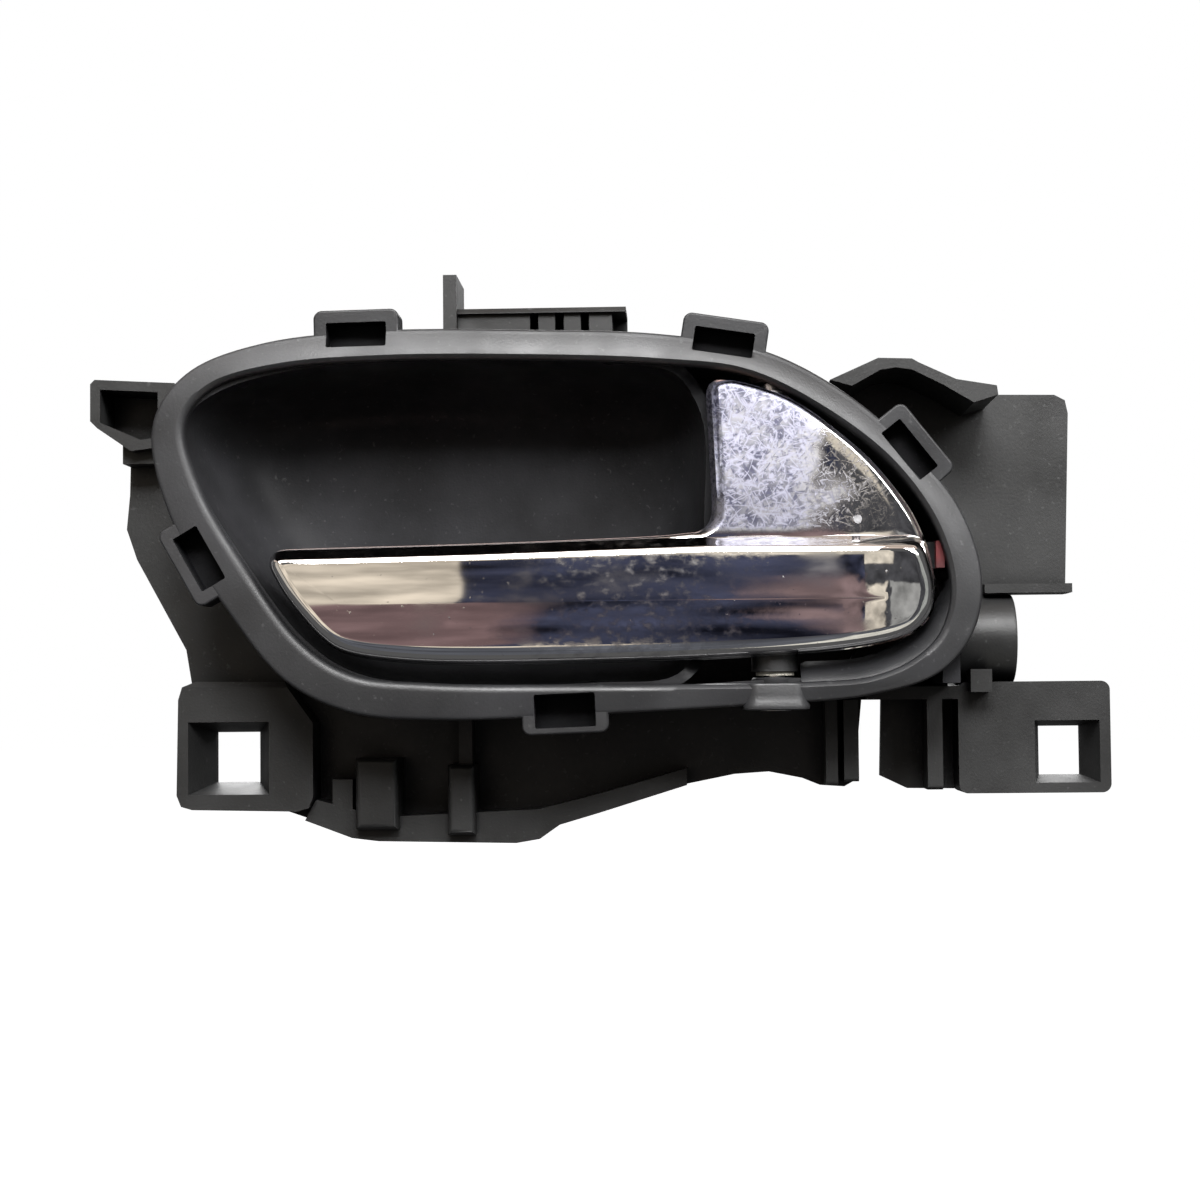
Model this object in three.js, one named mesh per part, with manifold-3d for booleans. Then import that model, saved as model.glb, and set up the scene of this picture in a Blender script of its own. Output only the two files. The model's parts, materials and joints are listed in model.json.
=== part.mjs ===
// Interior car door handle: a chromed pull lever in a moulded bezel and finger tub,
// screwed to a black carrier frame that is fixed to the door through two square holes.
// Millimetres. +X is to the right seen from the cabin, +Z is up and +Y points into the door.
// The origin is midway between the two square fixing holes, on the carrier's seating plane.

import * as THREE from 'three';
import { mergeVertices } from 'three/addons/utils/BufferGeometryUtils.js';
import Module from 'manifold-3d';

const wasm = await Module();
wasm.setup();

// ---------------------------------------------------------------- driving dimensions

const GAP = 0.3; // clearance between pieces that touch
const PAST = 1; // how far a cutter runs past the face it opens

// depths along Y, from the cabin side to the door side
const LEVER_FRONT = -30.4; // front face of the lever's wide plate
const BAR_FRONT = -33; // front face of the lever's finger bar
const LEVER_BACK = -25.5;
const BEZEL_FRONT = -30;
const BEZEL_THICK = 2.5;
const HOOK_BACK = -23; // rear end of the clip hooks
const TAB_FRONT = -11;
const TUB_FLOOR = -5;
const PLATE_FRONT = -2.5;
const SEAT = 0; // rear face of the carrier, on the door
const ROOT = PLATE_FRONT + 0.5; // where ribs and walls end inside the carrier's plate
const HOUSING_BACK = PLATE_FRONT - GAP;

const WALL = 1.8;
const LEVER_SKIN = 1.6;
const BAY_WALL = { outer: 2.5, inner: 4.2 }; // inset from the bezel's outer edge
const SHAFT_ROOM = 0.25; // clearance round turned parts
const BEZEL_STEPS = 96;

// outer edge of the bezel in the XZ plane, anticlockwise from its left end
const BEZEL_EDGE = [
  [-85, 55.2], [-81.2, 40.7], [-72.4, 26.5], [-62.1, 13.7], [-50.6, 8], [-35.2, 6.6],
  [-8, 7.4], [16.6, 8.6], [37.7, 10.2], [49.5, 13.9], [55.5, 21], [57, 30.3],
  [53.3, 42.2], [44.2, 53.4], [33.4, 62.6], [20.7, 69.3], [2.9, 72.5], [-21.1, 73.6],
  [-45.1, 73.9], [-65.5, 72], [-77.7, 67.7], [-83.4, 61.6],
];

// inner edge of the bezel
const BEZEL_OPENING = [
  [-79.2, 56.5], [-76.3, 46.5], [-69.4, 34.4], [-59.1, 20.2], [-50.6, 14.7], [-36.9, 13],
  [-8, 12.5], [12.4, 12.4], [28, 12.6], [38, 13.4], [45, 16.2], [49.6, 20.6], [51.6, 27.8],
  [49.4, 38], [41.9, 49.2], [30.2, 58.6], [17.4, 65.1], [2.8, 67.1], [-21.1, 68.2],
  [-45.2, 68.4], [-62.4, 67.3], [-73.7, 64.4], [-78, 60.6],
];

// mouth of the finger tub: the bezel's inner edge, closed on the right by the partition
const TUB_MOUTH = [
  [-79.2, 56.5], [-76.3, 46.5], [-69, 34.4], [-58.6, 20.6], [-50, 14.9], [-36.9, 12.8],
  [-8, 12.8], [5, 14], [9.4, 20], [10.2, 40], [9.9, 59], [5.5, 65.6],
  [-4, 67.4], [-21.1, 68.1], [-45.2, 68.3], [-62.4, 66.9], [-73.2, 63.8], [-78, 60.4],
];
const TUB_CENTRE = [-31, 40];
const TUB_NARROWING = 0.3; // how much smaller the floor is than the mouth
const TUB_RINGS = 7;

// clip slots: centre, direction of the long side with the outside on its left, width
// across, and thickness of the hook's outer wall
const CLIP_SLOTS = [
  { x: -49.5, z: 73.1, turn: 1, width: 4.4, wall: 2.2 },
  { x: 13.7, z: 70.8, turn: -9, width: 4.4, wall: 2.2 },
  { x: 45.1, z: 51.9, turn: -52, width: 4.2, wall: 2.2 },
  { x: -76.6, z: 34.7, turn: 119.5, width: 4.8, wall: 2 },
  { x: -14, z: 8.1, turn: 182, width: 5.8, wall: 1.1 },
];
const SLOT_LENGTH = 10.4;
const HOOK_WALL = 2.2; // beside the slot
const HOOK_FLOOR = 1.2; // behind the slot

// pivot of the lever
const PIVOT_X = 21.9;
const PIVOT_Y = -25;
const PIN_R = 1.65;
const PIN_HEAD = [7.7, 8.9];
const PIN_HEAD_R = 2.7;
const PIN_TOP = 65.6;
const LOWER_BOSS = [7.3, 13.4];
const LOWER_BOSS_R = 5;
const UPPER_BOSS = [63.9, 67];
const UPPER_BOSS_R = 3.8;
const CLIP_GROOVE = [61.6, 62.6];
const LOWER_BARREL = [14.4, 25];
const UPPER_BARREL = [50, 60.6];
const LOWER_BARREL_R = 4;
const UPPER_BARREL_R = 3.5;
const BUSH_OUTER = 2.6;
const BUSH_INNER = 1.95;
const BUSH_FLANGE = 3.3;
const SPRING_WIRE_R = 0.45;
const SPRING_R = 3.1;
const SPRING_TURNS = 6;

// lug and bumper that stop the lever when it closes
const STOP_Z = [31.8, 36.4];

// cable drive
const CABLE_Y = -4;
const CABLE_Z = 20;
const ARM_R = 4;
const ARM_Z = [18.4, 24.2];
const GUIDE_R = 8.2;
const GUIDE_X = [54.9, 65.3];
const GUIDE_BORE = 3.2;
const LINER_X = [54.2, 64.6];
const LINER_OUTER = 2.9;
const LINER_INNER = 1.6;

// fixing holes
const LEFT_HOLE = { x: -75.4, z: 0, mouth: [14.6, 13], window: [8.2, 9.2] };
const RIGHT_HOLE = { x: 73.8, z: 0, mouth: [11.4, 11], window: [7.6, 8.8] };

// screws between carrier and bezel
const SCREW_PLACES = [[-52.1, 11.6], [-9.5, 10.4], [40, 14.9], [-6, 70.1], [-70.5, 67.5]];
const SCREW_R = 1.15;
const SCREW_BORE = 1.45;
const SCREW_HEAD = 3;
const SCREW_BOSS = 2.7;
const SCREW_TIP = -13;
const PAD_R = 4.2; // raised pad of the carrier, counterbored for the screw's head
const PAD_FRONT = -5;
const HEAD_FLOOR = -2.2;
const HEAD_ROOM = 3.3;
const HEAD_HEIGHT = 1.6;

// screws that hold the plated shell on the lever's core
const SHELL_SCREW_PLACES = [[-46, 26], [-6, 26], [36, 40]];
const SHELL_SCREW = { tip: -30.6, seat: LEVER_BACK + 0.9, r: 0.75, head: 1.9, height: 1.1 };
const SHELL_SCREW_BORE = 1; // in the shell
const SHELL_SCREW_ROOM = 1.3; // in the core

// the lever's stop: a post behind the plate, and a finger behind the bezel's edge
const STOP_POST = { x: [38, 44], y: [-26, -21] };
const STOP_FINGER = { x: [43, 50.6], y: [-24.4, -21] };
const CLOSED_STOP = { x: [49.5, 50.9], y: [-27.2, -24.7] };
const OPEN_STOP = { x: [41.5, 47.5], z: [33, 40], y: [-6.8, HOUSING_BACK], corner: 1.2 };

const LOWER_BUSH = [13.8, 24.5];
const UPPER_BUSH = [50.5, 61];
const FLANGE_THICK = 0.6;
const SPRING_ROOM = 0.5;
const CLIP_RING = { outer: 3, inner: 1.55, groove: 1.3, mouth: 1.1, slack: 0.15 };
const CABLE_END = { r: 2.4, half: 1.3, drop: 0.8, rise: 9 }; // room for the cable's end

// features of the carrier, by their extent along X, Z and their front along Y
const ROOF_FRONT = -22;
const HOOK_BOX = { front: -12, floor: 1.5 };
const LIP_FRONT = -9;
const TAB_CORNER = 1.6;
const RIGHT_TAB = { x: [54.7, 81.4], z: [-7.3, 12.4] };
const TAB_SHELF = { x: [38.4, 60], z: [9.4, 11.7] };
const BRACKET_LIP = { x: [60, 75.5], z: [28.2, 29.8], front: -9 };
const LUG = { x: [56.4, 60.1], z: [10.6, 14.6], front: -16 };
const HOOK_BOX_FOOT = { x: [-95, -88.4], z: [53.4, 57], front: -9 };
const BRACKET_NOTCH = { x: [75, 78], z: [26, 28.1] };
const ARM_WINDOW = { x: [5, 30], z: [18, 50], corner: 3 };
const TUB_WINDOW = { x: [-56, -6], z: [23, 57], corner: 12 };
const BLADE = { x: [-36, -33.6], z: [69, 86], front: -14 };
const SHELF = { x: [-33.7, -3.4], z: [79.1, 80.1], front: -13 };
const TEETH = { z: [73.6, 79.2], front: -12 };
const TEETH_X = [[-33.7, -20.6], [-19.1, -16.1], [-14.5, -11.5], [-10, -5.9]];
const RIBS = [
  { x: [-57, -53.4], front: -9, z: [-11, -4] },
  { x: [-52.5, -44.9], front: -12, z: [-12.9, -0.2] },
  { x: [-36, -31.1], front: -12, z: [-13.9, -1.5] },
  { x: [-34.2, -31.8], front: -9, z: [-2, 9] },
  { x: [31.2, 33.3], front: -12, z: [-5.6, 9.4] },
  { x: [34.4, 37], front: -12, z: [-5, 9.4] },
  { x: [49.2, 51.9], front: -11, z: [-6.6, 10] },
];

// ---------------------------------------------------------------- helpers

function solid(geometry) {
  geometry.deleteAttribute('normal');
  geometry.deleteAttribute('uv');
  const merged = mergeVertices(geometry, 1e-4);
  return new wasm.Manifold(new wasm.Mesh({
    numProp: 3,
    vertProperties: new Float32Array(merged.attributes.position.array),
    triVerts: new Uint32Array(merged.index.array),
  }));
}

function join(first, ...others) {
  return others.reduce((sum, other) => sum.add(other), first);
}

function cut(first, ...others) {
  return others.reduce((rest, other) => rest.subtract(other), first);
}

function block([x0, x1], [y0, y1], [z0, z1]) {
  const geometry = new THREE.BoxGeometry(x1 - x0, y1 - y0, z1 - z0);
  geometry.translate((x0 + x1) / 2, (y0 + y1) / 2, (z0 + z1) / 2);
  return solid(geometry);
}

function rod(axis, [a, b], [from, to], radius, sides = 24) {
  const geometry = new THREE.CylinderGeometry(radius, radius, to - from, sides);
  const middle = (from + to) / 2;
  if (axis === 'x') {
    geometry.rotateZ(-Math.PI / 2);
    geometry.translate(middle, a, b);
  } else if (axis === 'y') {
    geometry.translate(a, middle, b);
  } else {
    geometry.rotateX(Math.PI / 2);
    geometry.translate(a, b, middle);
  }
  return solid(geometry);
}

function tube(axis, centre, span, outer, inner, sides = 24) {
  const bore = rod(axis, centre, [span[0] - PAST, span[1] + PAST], inner, sides);
  return cut(rod(axis, centre, span, outer, sides), bore);
}

function asShape(points) {
  return new THREE.Shape(points.map(([x, z]) => new THREE.Vector2(x, z)));
}

// An outline in the XZ plane becomes a slab from yFront back to yBack.
function slab(outline, [yFront, yBack], bevel = 0) {
  const shape = Array.isArray(outline) ? asShape(outline) : outline;
  const geometry = new THREE.ExtrudeGeometry(shape, {
    depth: yBack - yFront - 2 * bevel,
    bevelEnabled: bevel > 0,
    bevelThickness: bevel,
    bevelSize: bevel,
    bevelOffset: -bevel,
    bevelSegments: 1,
    curveSegments: 6,
  });
  geometry.rotateX(Math.PI / 2);
  geometry.translate(0, yBack - bevel, 0);
  return solid(geometry);
}

function smoothLoop(points, steps) {
  const knots = points.map(([x, z]) => new THREE.Vector3(x, 0, z));
  const curve = new THREE.CatmullRomCurve3(knots, true, 'centripetal');
  return curve.getSpacedPoints(steps).slice(0, steps).map((p) => [p.x, p.z]);
}

function distanceToLoop([x, z], loop) {
  const distances = loop.map(([xa, za], i) => {
    const [xb, zb] = loop[(i + 1) % loop.length];
    const [dx, dz] = [xb - xa, zb - za];
    const along = ((x - xa) * dx + (z - za) * dz) / (dx * dx + dz * dz);
    const t = Math.min(Math.max(along, 0), 1);
    return Math.hypot(x - xa - t * dx, z - za - t * dz);
  });
  return Math.min(...distances);
}

// Moves an anticlockwise loop inwards by a distance, or outwards if it is negative.
// Points that would cross over at a tight corner are left out.
function inset(loop, distance) {
  const moved = loop.map(([x, z], i) => {
    const [xa, za] = loop[(i + loop.length - 1) % loop.length];
    const [xb, zb] = loop[(i + 1) % loop.length];
    const length = Math.hypot(xb - xa, zb - za);
    return [x - distance * (zb - za) / length, z + distance * (xb - xa) / length];
  });
  return moved.filter((point) => distanceToLoop(point, loop) >= Math.abs(distance) * 0.96);
}

function roundedBox([x0, x1], [z0, z1], radius) {
  const shape = new THREE.Shape();
  shape.moveTo(x0 + radius, z0);
  shape.lineTo(x1 - radius, z0);
  shape.absarc(x1 - radius, z0 + radius, radius, -Math.PI / 2, 0);
  shape.lineTo(x1, z1 - radius);
  shape.absarc(x1 - radius, z1 - radius, radius, 0, Math.PI / 2);
  shape.lineTo(x0 + radius, z1);
  shape.absarc(x0 + radius, z1 - radius, radius, Math.PI / 2, Math.PI);
  shape.lineTo(x0, z0 + radius);
  shape.absarc(x0 + radius, z0 + radius, radius, Math.PI, Math.PI * 1.5);
  return shape;
}

// Joins equal loops at rising depths into one closed solid.
function loft(loops) {
  const count = loops[0].points.length;
  const positions = loops.flatMap(({ y, points }) => points.flatMap(([x, z]) => [x, y, z]));
  const index = [];
  for (let k = 0; k + 1 < loops.length; k += 1) {
    for (let i = 0; i < count; i += 1) {
      const a = k * count + i;
      const b = k * count + (i + 1) % count;
      index.push(a, a + count, b, b, a + count, b + count);
    }
  }
  const last = (loops.length - 1) * count;
  const cap = (points) => THREE.ShapeUtils.triangulateShape(
    points.map(([x, z]) => new THREE.Vector2(x, z)), []);
  for (const [a, b, c] of cap(loops[0].points)) {
    index.push(a, b, c);
  }
  for (const [a, b, c] of cap(loops.at(-1).points)) {
    index.push(last + a, last + c, last + b);
  }
  const geometry = new THREE.BufferGeometry();
  geometry.setAttribute('position', new THREE.Float32BufferAttribute(positions, 3));
  geometry.setIndex(index);
  return solid(geometry);
}

// Turns a slab drawn round the origin and moves it to a clip slot's place.
function atSlot(piece, slot) {
  return piece.rotate([0, -slot.turn, 0]).translate([slot.x, 0, slot.z]);
}

// ---------------------------------------------------------------- materials

function material(color, roughness, metalness = 0) {
  return new THREE.MeshStandardMaterial({ color, roughness, metalness });
}

const bezelPlastic = material(0x1d1d1f, 0.5);
const carrierPlastic = material(0x161617, 0.6);
const leverPlastic = material(0x111112, 0.55);
const chrome = material(0xd8d8dc, 0.12, 1);
const steel = material(0xa9adb1, 0.35, 1);
const nylon = material(0xd9d5c8, 0.5);
const redRubber = material(0x4a0d10, 0.8);
const blackRubber = material(0x151515, 0.85);

const group = new THREE.Group();

function add(name, piece, look) {
  const { vertProperties, triVerts } = piece.getMesh();
  const geometry = new THREE.BufferGeometry();
  geometry.setAttribute('position', new THREE.BufferAttribute(vertProperties, 3));
  geometry.setIndex(new THREE.BufferAttribute(triVerts, 1));
  geometry.computeVertexNormals();
  const mesh = new THREE.Mesh(geometry, look);
  mesh.name = name;
  group.add(mesh);
}

// ---------------------------------------------------------------- bezel and finger tub

const bezelLoop = smoothLoop(BEZEL_EDGE, BEZEL_STEPS);

function bezelRing() {
  const shape = asShape(bezelLoop);
  shape.holes.push(asShape(smoothLoop(BEZEL_OPENING, BEZEL_STEPS)));
  return slab(shape, [BEZEL_FRONT, BEZEL_FRONT + BEZEL_THICK]);
}

// The scoop narrows along a quarter ellipse from its mouth to its floor.
function scoop(growth, yMouth, yStart, yFloor) {
  const mouth = inset(smoothLoop(TUB_MOUTH, 56), -growth);
  const loops = [{ y: yMouth, points: mouth }];
  for (let k = 0; k < TUB_RINGS; k += 1) {
    const angle = (k / (TUB_RINGS - 1)) * Math.PI / 2;
    const scale = 1 - TUB_NARROWING * (1 - Math.cos(angle));
    const points = mouth.map(([x, z]) => [
      TUB_CENTRE[0] + (x - TUB_CENTRE[0]) * scale,
      TUB_CENTRE[1] + (z - TUB_CENTRE[1]) * scale,
    ]);
    loops.push({ y: yStart + (yFloor - yStart) * Math.sin(angle), points });
  }
  return loft(loops);
}

// The housing wall round the lever bay, right of the finger tub.
function bayWall() {
  const shape = asShape(inset(bezelLoop, BAY_WALL.outer));
  shape.holes.push(asShape(inset(bezelLoop, BAY_WALL.inner)));
  const wall = slab(shape, [BEZEL_FRONT + 1, HOUSING_BACK]);
  return wall.intersect(block([4, 60], [-40, 10], [0, 80]));
}

function clipHook(slot) {
  const half = SLOT_LENGTH / 2 + HOOK_WALL;
  const outline = roundedBox([-half, half], [-slot.width, slot.width / 2 + slot.wall], 1.4);
  return atSlot(slab(outline, [BEZEL_FRONT, HOOK_BACK]), slot);
}

function clipSlot({ width, ...slot }) {
  const half = SLOT_LENGTH / 2;
  const depth = [BEZEL_FRONT - PAST, HOOK_BACK - HOOK_FLOOR];
  return atSlot(block([-half, half], depth, [-width / 2, width / 2]), slot);
}

function bezelTub() {
  const bosses = SCREW_PLACES.map((place) => rod(
    'y', place, [BEZEL_FRONT + 1, HOUSING_BACK], SCREW_BOSS, 16));
  const bores = SCREW_PLACES.map((place) => rod(
    'y', place, [SCREW_TIP - 0.5, HOUSING_BACK + PAST], SCREW_BORE, 12));
  const padRooms = SCREW_PLACES.map((place) => rod(
    'y', place, [PAD_FRONT - GAP, HOUSING_BACK + PAST], PAD_R + GAP));
  const pivot = [PIVOT_X, PIVOT_Y];
  const mouth = BEZEL_FRONT + BEZEL_THICK;
  const body = join(
    bezelRing(),
    scoop(WALL, BEZEL_FRONT + 1, mouth, TUB_FLOOR + WALL),
    bayWall(),
    rod('z', pivot, LOWER_BOSS, LOWER_BOSS_R),
    rod('z', pivot, UPPER_BOSS, UPPER_BOSS_R),
    ...CLIP_SLOTS.map(clipHook),
    ...bosses,
  );
  return cut(
    body,
    scoop(0, BEZEL_FRONT - PAST, mouth, TUB_FLOOR),
    rod('z', pivot, [LOWER_BOSS[0] - PAST, PIN_TOP + GAP], PIN_R + SHAFT_ROOM, 16),
    rod('z', pivot, [LOWER_BOSS[0] - PAST, PIN_HEAD[1] + GAP], PIN_HEAD_R + GAP, 20),
    rod('x', [CABLE_Y - 1, CABLE_Z], [44, 58], GUIDE_BORE + 0.6, 16),
    sweepRoom(),
    partitionRoom(),
    ...CLIP_SLOTS.map(clipSlot),
    ...bores,
    ...padRooms,
  );
}

// ---------------------------------------------------------------- lever

// Outline of the lever: a tapering finger bar with a quarter-round plate above its right half.
function leverOutline() {
  const shape = new THREE.Shape();
  const spline = (points) => shape.splineThru(points.map(([x, z]) => new THREE.Vector2(x, z)));
  shape.moveTo(-61.4, 36.1);
  shape.bezierCurveTo(-64.4, 36, -65.2, 34.2, -64, 32);
  spline([[-61.2, 27.4], [-55.8, 21], [-51, 18], [-41.9, 16.5]]);
  spline([[-28.3, 15.9], [-1.1, 16.2], [19.2, 16.9], [33, 17.9], [43, 19.7]]);
  spline([[47.6, 22.8], [49.1, 27.8], [48, 34.6], [45.1, 41.4], [39.3, 49.2]]);
  spline([[32.6, 55.4], [25.6, 60.4], [19.6, 62.9], [14.6, 64.2]]);
  shape.bezierCurveTo(12, 64.8, 10.6, 64, 10.6, 61.6);
  shape.lineTo(11.4, 44);
  shape.bezierCurveTo(11.6, 39.5, 10.2, 38.1, 6.5, 38);
  spline([[-0.9, 37.5], [-28.1, 36.7], [-52.1, 36.3]]);
  shape.lineTo(-61.4, 36.1);
  return shape;
}

// Outline of the proud finger bar, which runs along the foot of the lever.
function barOutline() {
  const shape = new THREE.Shape();
  shape.moveTo(-56.6, 34.1);
  shape.bezierCurveTo(-61.5, 33.9, -60.5, 29.6, -57.4, 26.6);
  shape.bezierCurveTo(-52.5, 20.6, -49, 19.1, -41.9, 19);
  shape.lineTo(18, 19.2);
  shape.bezierCurveTo(30, 19.4, 34, 20.2, 39, 21.4);
  shape.bezierCurveTo(47, 23.4, 47, 27.4, 45.2, 33);
  shape.bezierCurveTo(44.2, 36.6, 42.6, 37.2, 39, 37.1);
  shape.lineTo(-56.6, 34.1);
  return shape;
}

function evenLoop(shape, steps) {
  return shape.getSpacedPoints(steps).slice(0, steps).map((p) => [p.x, p.y]);
}

const leverLoop = evenLoop(leverOutline(), 110);
const barLoop = evenLoop(barOutline(), 64);

// Room that the lever's right end sweeps behind the bezel's inner edge.
function sweepRoom() {
  const behind = [BEZEL_FRONT + 0.9, BEZEL_FRONT + BEZEL_THICK + 0.5];
  return slab(inset(leverLoop, -2.1), behind).intersect(block([16, 60], [-40, 0], [14.5, 80]));
}

// The partition beside the tub stops behind the lever.
function partitionRoom() {
  const depth = [BEZEL_FRONT - PAST, LEVER_BACK + 1];
  return slab(inset(leverLoop, -0.8), depth).intersect(block([2, 17], [-40, 0], [14.8, 70]));
}

function leverShell() {
  const skin = LEVER_SKIN;
  const body = join(
    slab(leverLoop, [LEVER_FRONT, LEVER_BACK], 0.8),
    slab(barLoop, [BAR_FRONT, LEVER_FRONT + 1.2], 1),
  );
  return cut(
    body,
    slab(inset(leverLoop, skin), [LEVER_FRONT + skin, LEVER_BACK + PAST]),
    slab(inset(barLoop, skin), [BAR_FRONT + skin, LEVER_BACK + PAST]),
    rod('z', [PIVOT_X, PIVOT_Y], [10, LOWER_BARREL[1]], LOWER_BARREL_R + GAP),
    rod('z', [PIVOT_X, PIVOT_Y], [UPPER_BARREL[0] - 1, 70], UPPER_BARREL_R + SHAFT_ROOM),
    ...SHELL_SCREW_PLACES.map((place) => rod(
      'y', place, [SHELL_SCREW.tip - GAP, LEVER_BACK], SHELL_SCREW_BORE, 10)),
  );
}

function cableArm() {
  const shape = new THREE.Shape();
  shape.absarc(PIVOT_X, -PIVOT_Y, ARM_R, 0, Math.PI);
  shape.absarc(PIVOT_X, -CABLE_Y, ARM_R, Math.PI, Math.PI * 2);
  const geometry = new THREE.ExtrudeGeometry(shape, {
    depth: ARM_Z[1] - ARM_Z[0], bevelEnabled: false, curveSegments: 10,
  });
  geometry.rotateX(Math.PI);
  geometry.translate(0, 0, ARM_Z[1]);
  return solid(geometry);
}

function leverCore() {
  const pivot = [PIVOT_X, PIVOT_Y];
  const skin = LEVER_SKIN + GAP;
  const plateDepth = [LEVER_FRONT + skin, LEVER_BACK + 0.6];
  const body = join(
    slab(inset(leverLoop, skin), plateDepth),
    slab(inset(barLoop, skin + 2 * GAP), [BAR_FRONT + skin, LEVER_BACK]),
    rod('z', pivot, LOWER_BARREL, LOWER_BARREL_R),
    rod('z', pivot, UPPER_BARREL, UPPER_BARREL_R),
    block(STOP_POST.x, STOP_POST.y, STOP_Z),
    block(STOP_FINGER.x, STOP_FINGER.y, STOP_Z),
    cableArm(),
  );
  const springRoom = [LOWER_BARREL[1] + 1, UPPER_BARREL[0] - 1];
  const roomR = SPRING_R + SPRING_WIRE_R + SPRING_ROOM;
  const cableX = [PIVOT_X, PIVOT_X + CABLE_END.rise];
  const cableY = [CABLE_Y - CABLE_END.half, CABLE_Y + CABLE_END.half];
  const cableZ = [CABLE_Z - CABLE_END.drop, CABLE_Z + CABLE_END.rise];
  return cut(
    body,
    rod('z', pivot, [0, 80], BUSH_OUTER + 0.2),
    rod('z', pivot, [UPPER_BARREL[1], 70], BUSH_FLANGE + 0.4),
    rod('z', pivot, springRoom, roomR),
    block([PIVOT_X - roomR, PIVOT_X + roomR], [PIVOT_Y, PIVOT_Y + 8], springRoom),
    block(cableX, cableY, cableZ),
    rod('z', [PIVOT_X, CABLE_Y], cableZ, CABLE_END.r, 16),
    ...SHELL_SCREW_PLACES.map((place) => rod('y', place, [-32, -20], SHELL_SCREW_ROOM, 10)),
  );
}

// A pan-head screw along Y, with its head at the door end.
function screwAlongY(place, [tip, seat], radius, headRadius, headHeight) {
  const head = rod('y', place, [seat, seat + headHeight], headRadius, 14);
  const recess = headHeight - 0.6;
  const driveA = [[place[0] - 0.4, place[0] + 0.4], [place[1] - 1.3, place[1] + 1.3]];
  const driveB = [[place[0] - 1.3, place[0] + 1.3], [place[1] - 0.4, place[1] + 0.4]];
  const depth = [seat + headHeight - recess, seat + headHeight + PAST];
  const body = join(head, rod('y', place, [tip, seat + 0.4], radius, 10));
  return cut(body, block(driveA[0], depth, driveA[1]), block(driveB[0], depth, driveB[1]));
}

// ---------------------------------------------------------------- pivot parts

function bush([z0, z1], flangeAt) {
  const centre = [PIVOT_X, PIVOT_Y];
  const flange = [flangeAt, flangeAt + FLANGE_THICK];
  return join(
    tube('z', centre, [z0, z1], BUSH_OUTER, BUSH_INNER, 20),
    tube('z', centre, flange, BUSH_FLANGE, BUSH_INNER, 20),
  );
}

function pivotPin() {
  const centre = [PIVOT_X, PIVOT_Y];
  const head = rod('z', centre, PIN_HEAD, PIN_HEAD_R, 20);
  const shaft = rod('z', centre, [PIN_HEAD[1] - 0.5, PIN_TOP], PIN_R, 20);
  const groove = tube('z', centre, CLIP_GROOVE, CLIP_RING.outer, CLIP_RING.groove, 20);
  return cut(join(head, shaft), groove);
}

function retainingClip() {
  const centre = [PIVOT_X, PIVOT_Y];
  const { outer, inner, mouth, slack } = CLIP_RING;
  const ring = tube('z', centre, [CLIP_GROOVE[0] + slack, CLIP_GROOVE[1] - slack], outer, inner, 20);
  const opening = block([PIVOT_X - mouth, PIVOT_X + mouth], [PIVOT_Y, PIVOT_Y + 5], [60, 64]);
  return cut(ring, opening);
}

class SpringPath extends THREE.Curve {
  getPoint(t, target = new THREE.Vector3()) {
    const z0 = LOWER_BARREL[1] + 2;
    const z1 = UPPER_BARREL[0] - 2;
    const angle = t * SPRING_TURNS * Math.PI * 2;
    return target.set(
      PIVOT_X + SPRING_R * Math.cos(angle),
      PIVOT_Y + SPRING_R * Math.sin(angle),
      z0 + (z1 - z0) * t,
    );
  }
}

function returnSpring() {
  const wire = new THREE.Shape();
  wire.absarc(0, 0, SPRING_WIRE_R, 0, Math.PI * 2);
  return solid(new THREE.ExtrudeGeometry(wire, {
    steps: SPRING_TURNS * 10,
    extrudePath: new SpringPath(),
    curveSegments: 3,
  }));
}

// ---------------------------------------------------------------- carrier frame

// Outline of the carrier plate, anticlockwise from its upper left corner.
const PLATE_EDGE = [
  [-95.1, 57], [-95.3, 48.4], [-95.9, 42], [-94, 36.4], [-84.9, 19.7], [-83.8, 13],
  [-70.5, 5], [-66, -10], [-59.3, -12.3], [-53.5, -14.5], [-48.7, -15.1], [-24, -15.6],
  [-19.8, -14.9], [-16.2, -12.4], [-9, -10.3], [6.6, -5.5], [15.2, -3.8], [21.4, -3.4],
  [27.4, -4.6], [30.6, -5.9], [35, -6.2], [36.8, -5.2], [37.6, 2.6], [38.3, 9.4],
  [41.9, 9.4], [41.5, -4.3], [46.3, -6.6], [60, -6.8], [60, 12], [57, 13],
  [57, 28.2], [75.3, 28.2], [76.4, 61], [75.9, 63.4], [74, 64.4], [61.2, 64.6],
  [59.2, 61.6], [47, 67], [42, 67.6], [34.5, 63.9], [20, 67.5], [-3.4, 70.5],
  [-3.4, 80.1], [-36, 80.1], [-36, 71], [-64, 70], [-80, 65], [-86, 62],
];

// Lower strip of the skirt, which curls towards the cabin.
const SKIRT_LIP = [
  [-62, -11.3], [-53.5, -14.5], [-48.7, -15.1], [-24, -15.6], [-19.8, -14.9],
  [-16.2, -12.4], [-9, -10.3], [6.6, -5.5], [6.6, -2.5], [-9, -6.9], [-20, -9.6],
  [-48, -10.8], [-60, -7.6],
];

const ROOF = [
  [32.2, 65], [36, 63.9], [40.9, 66.6], [43.6, 67], [46.4, 66.6], [51.7, 63.9], [57, 60.7],
  [61.2, 62], [61, 63.6], [54, 64.8], [47.6, 67.8], [46.4, 68.5], [40.6, 68.7],
];

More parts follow.
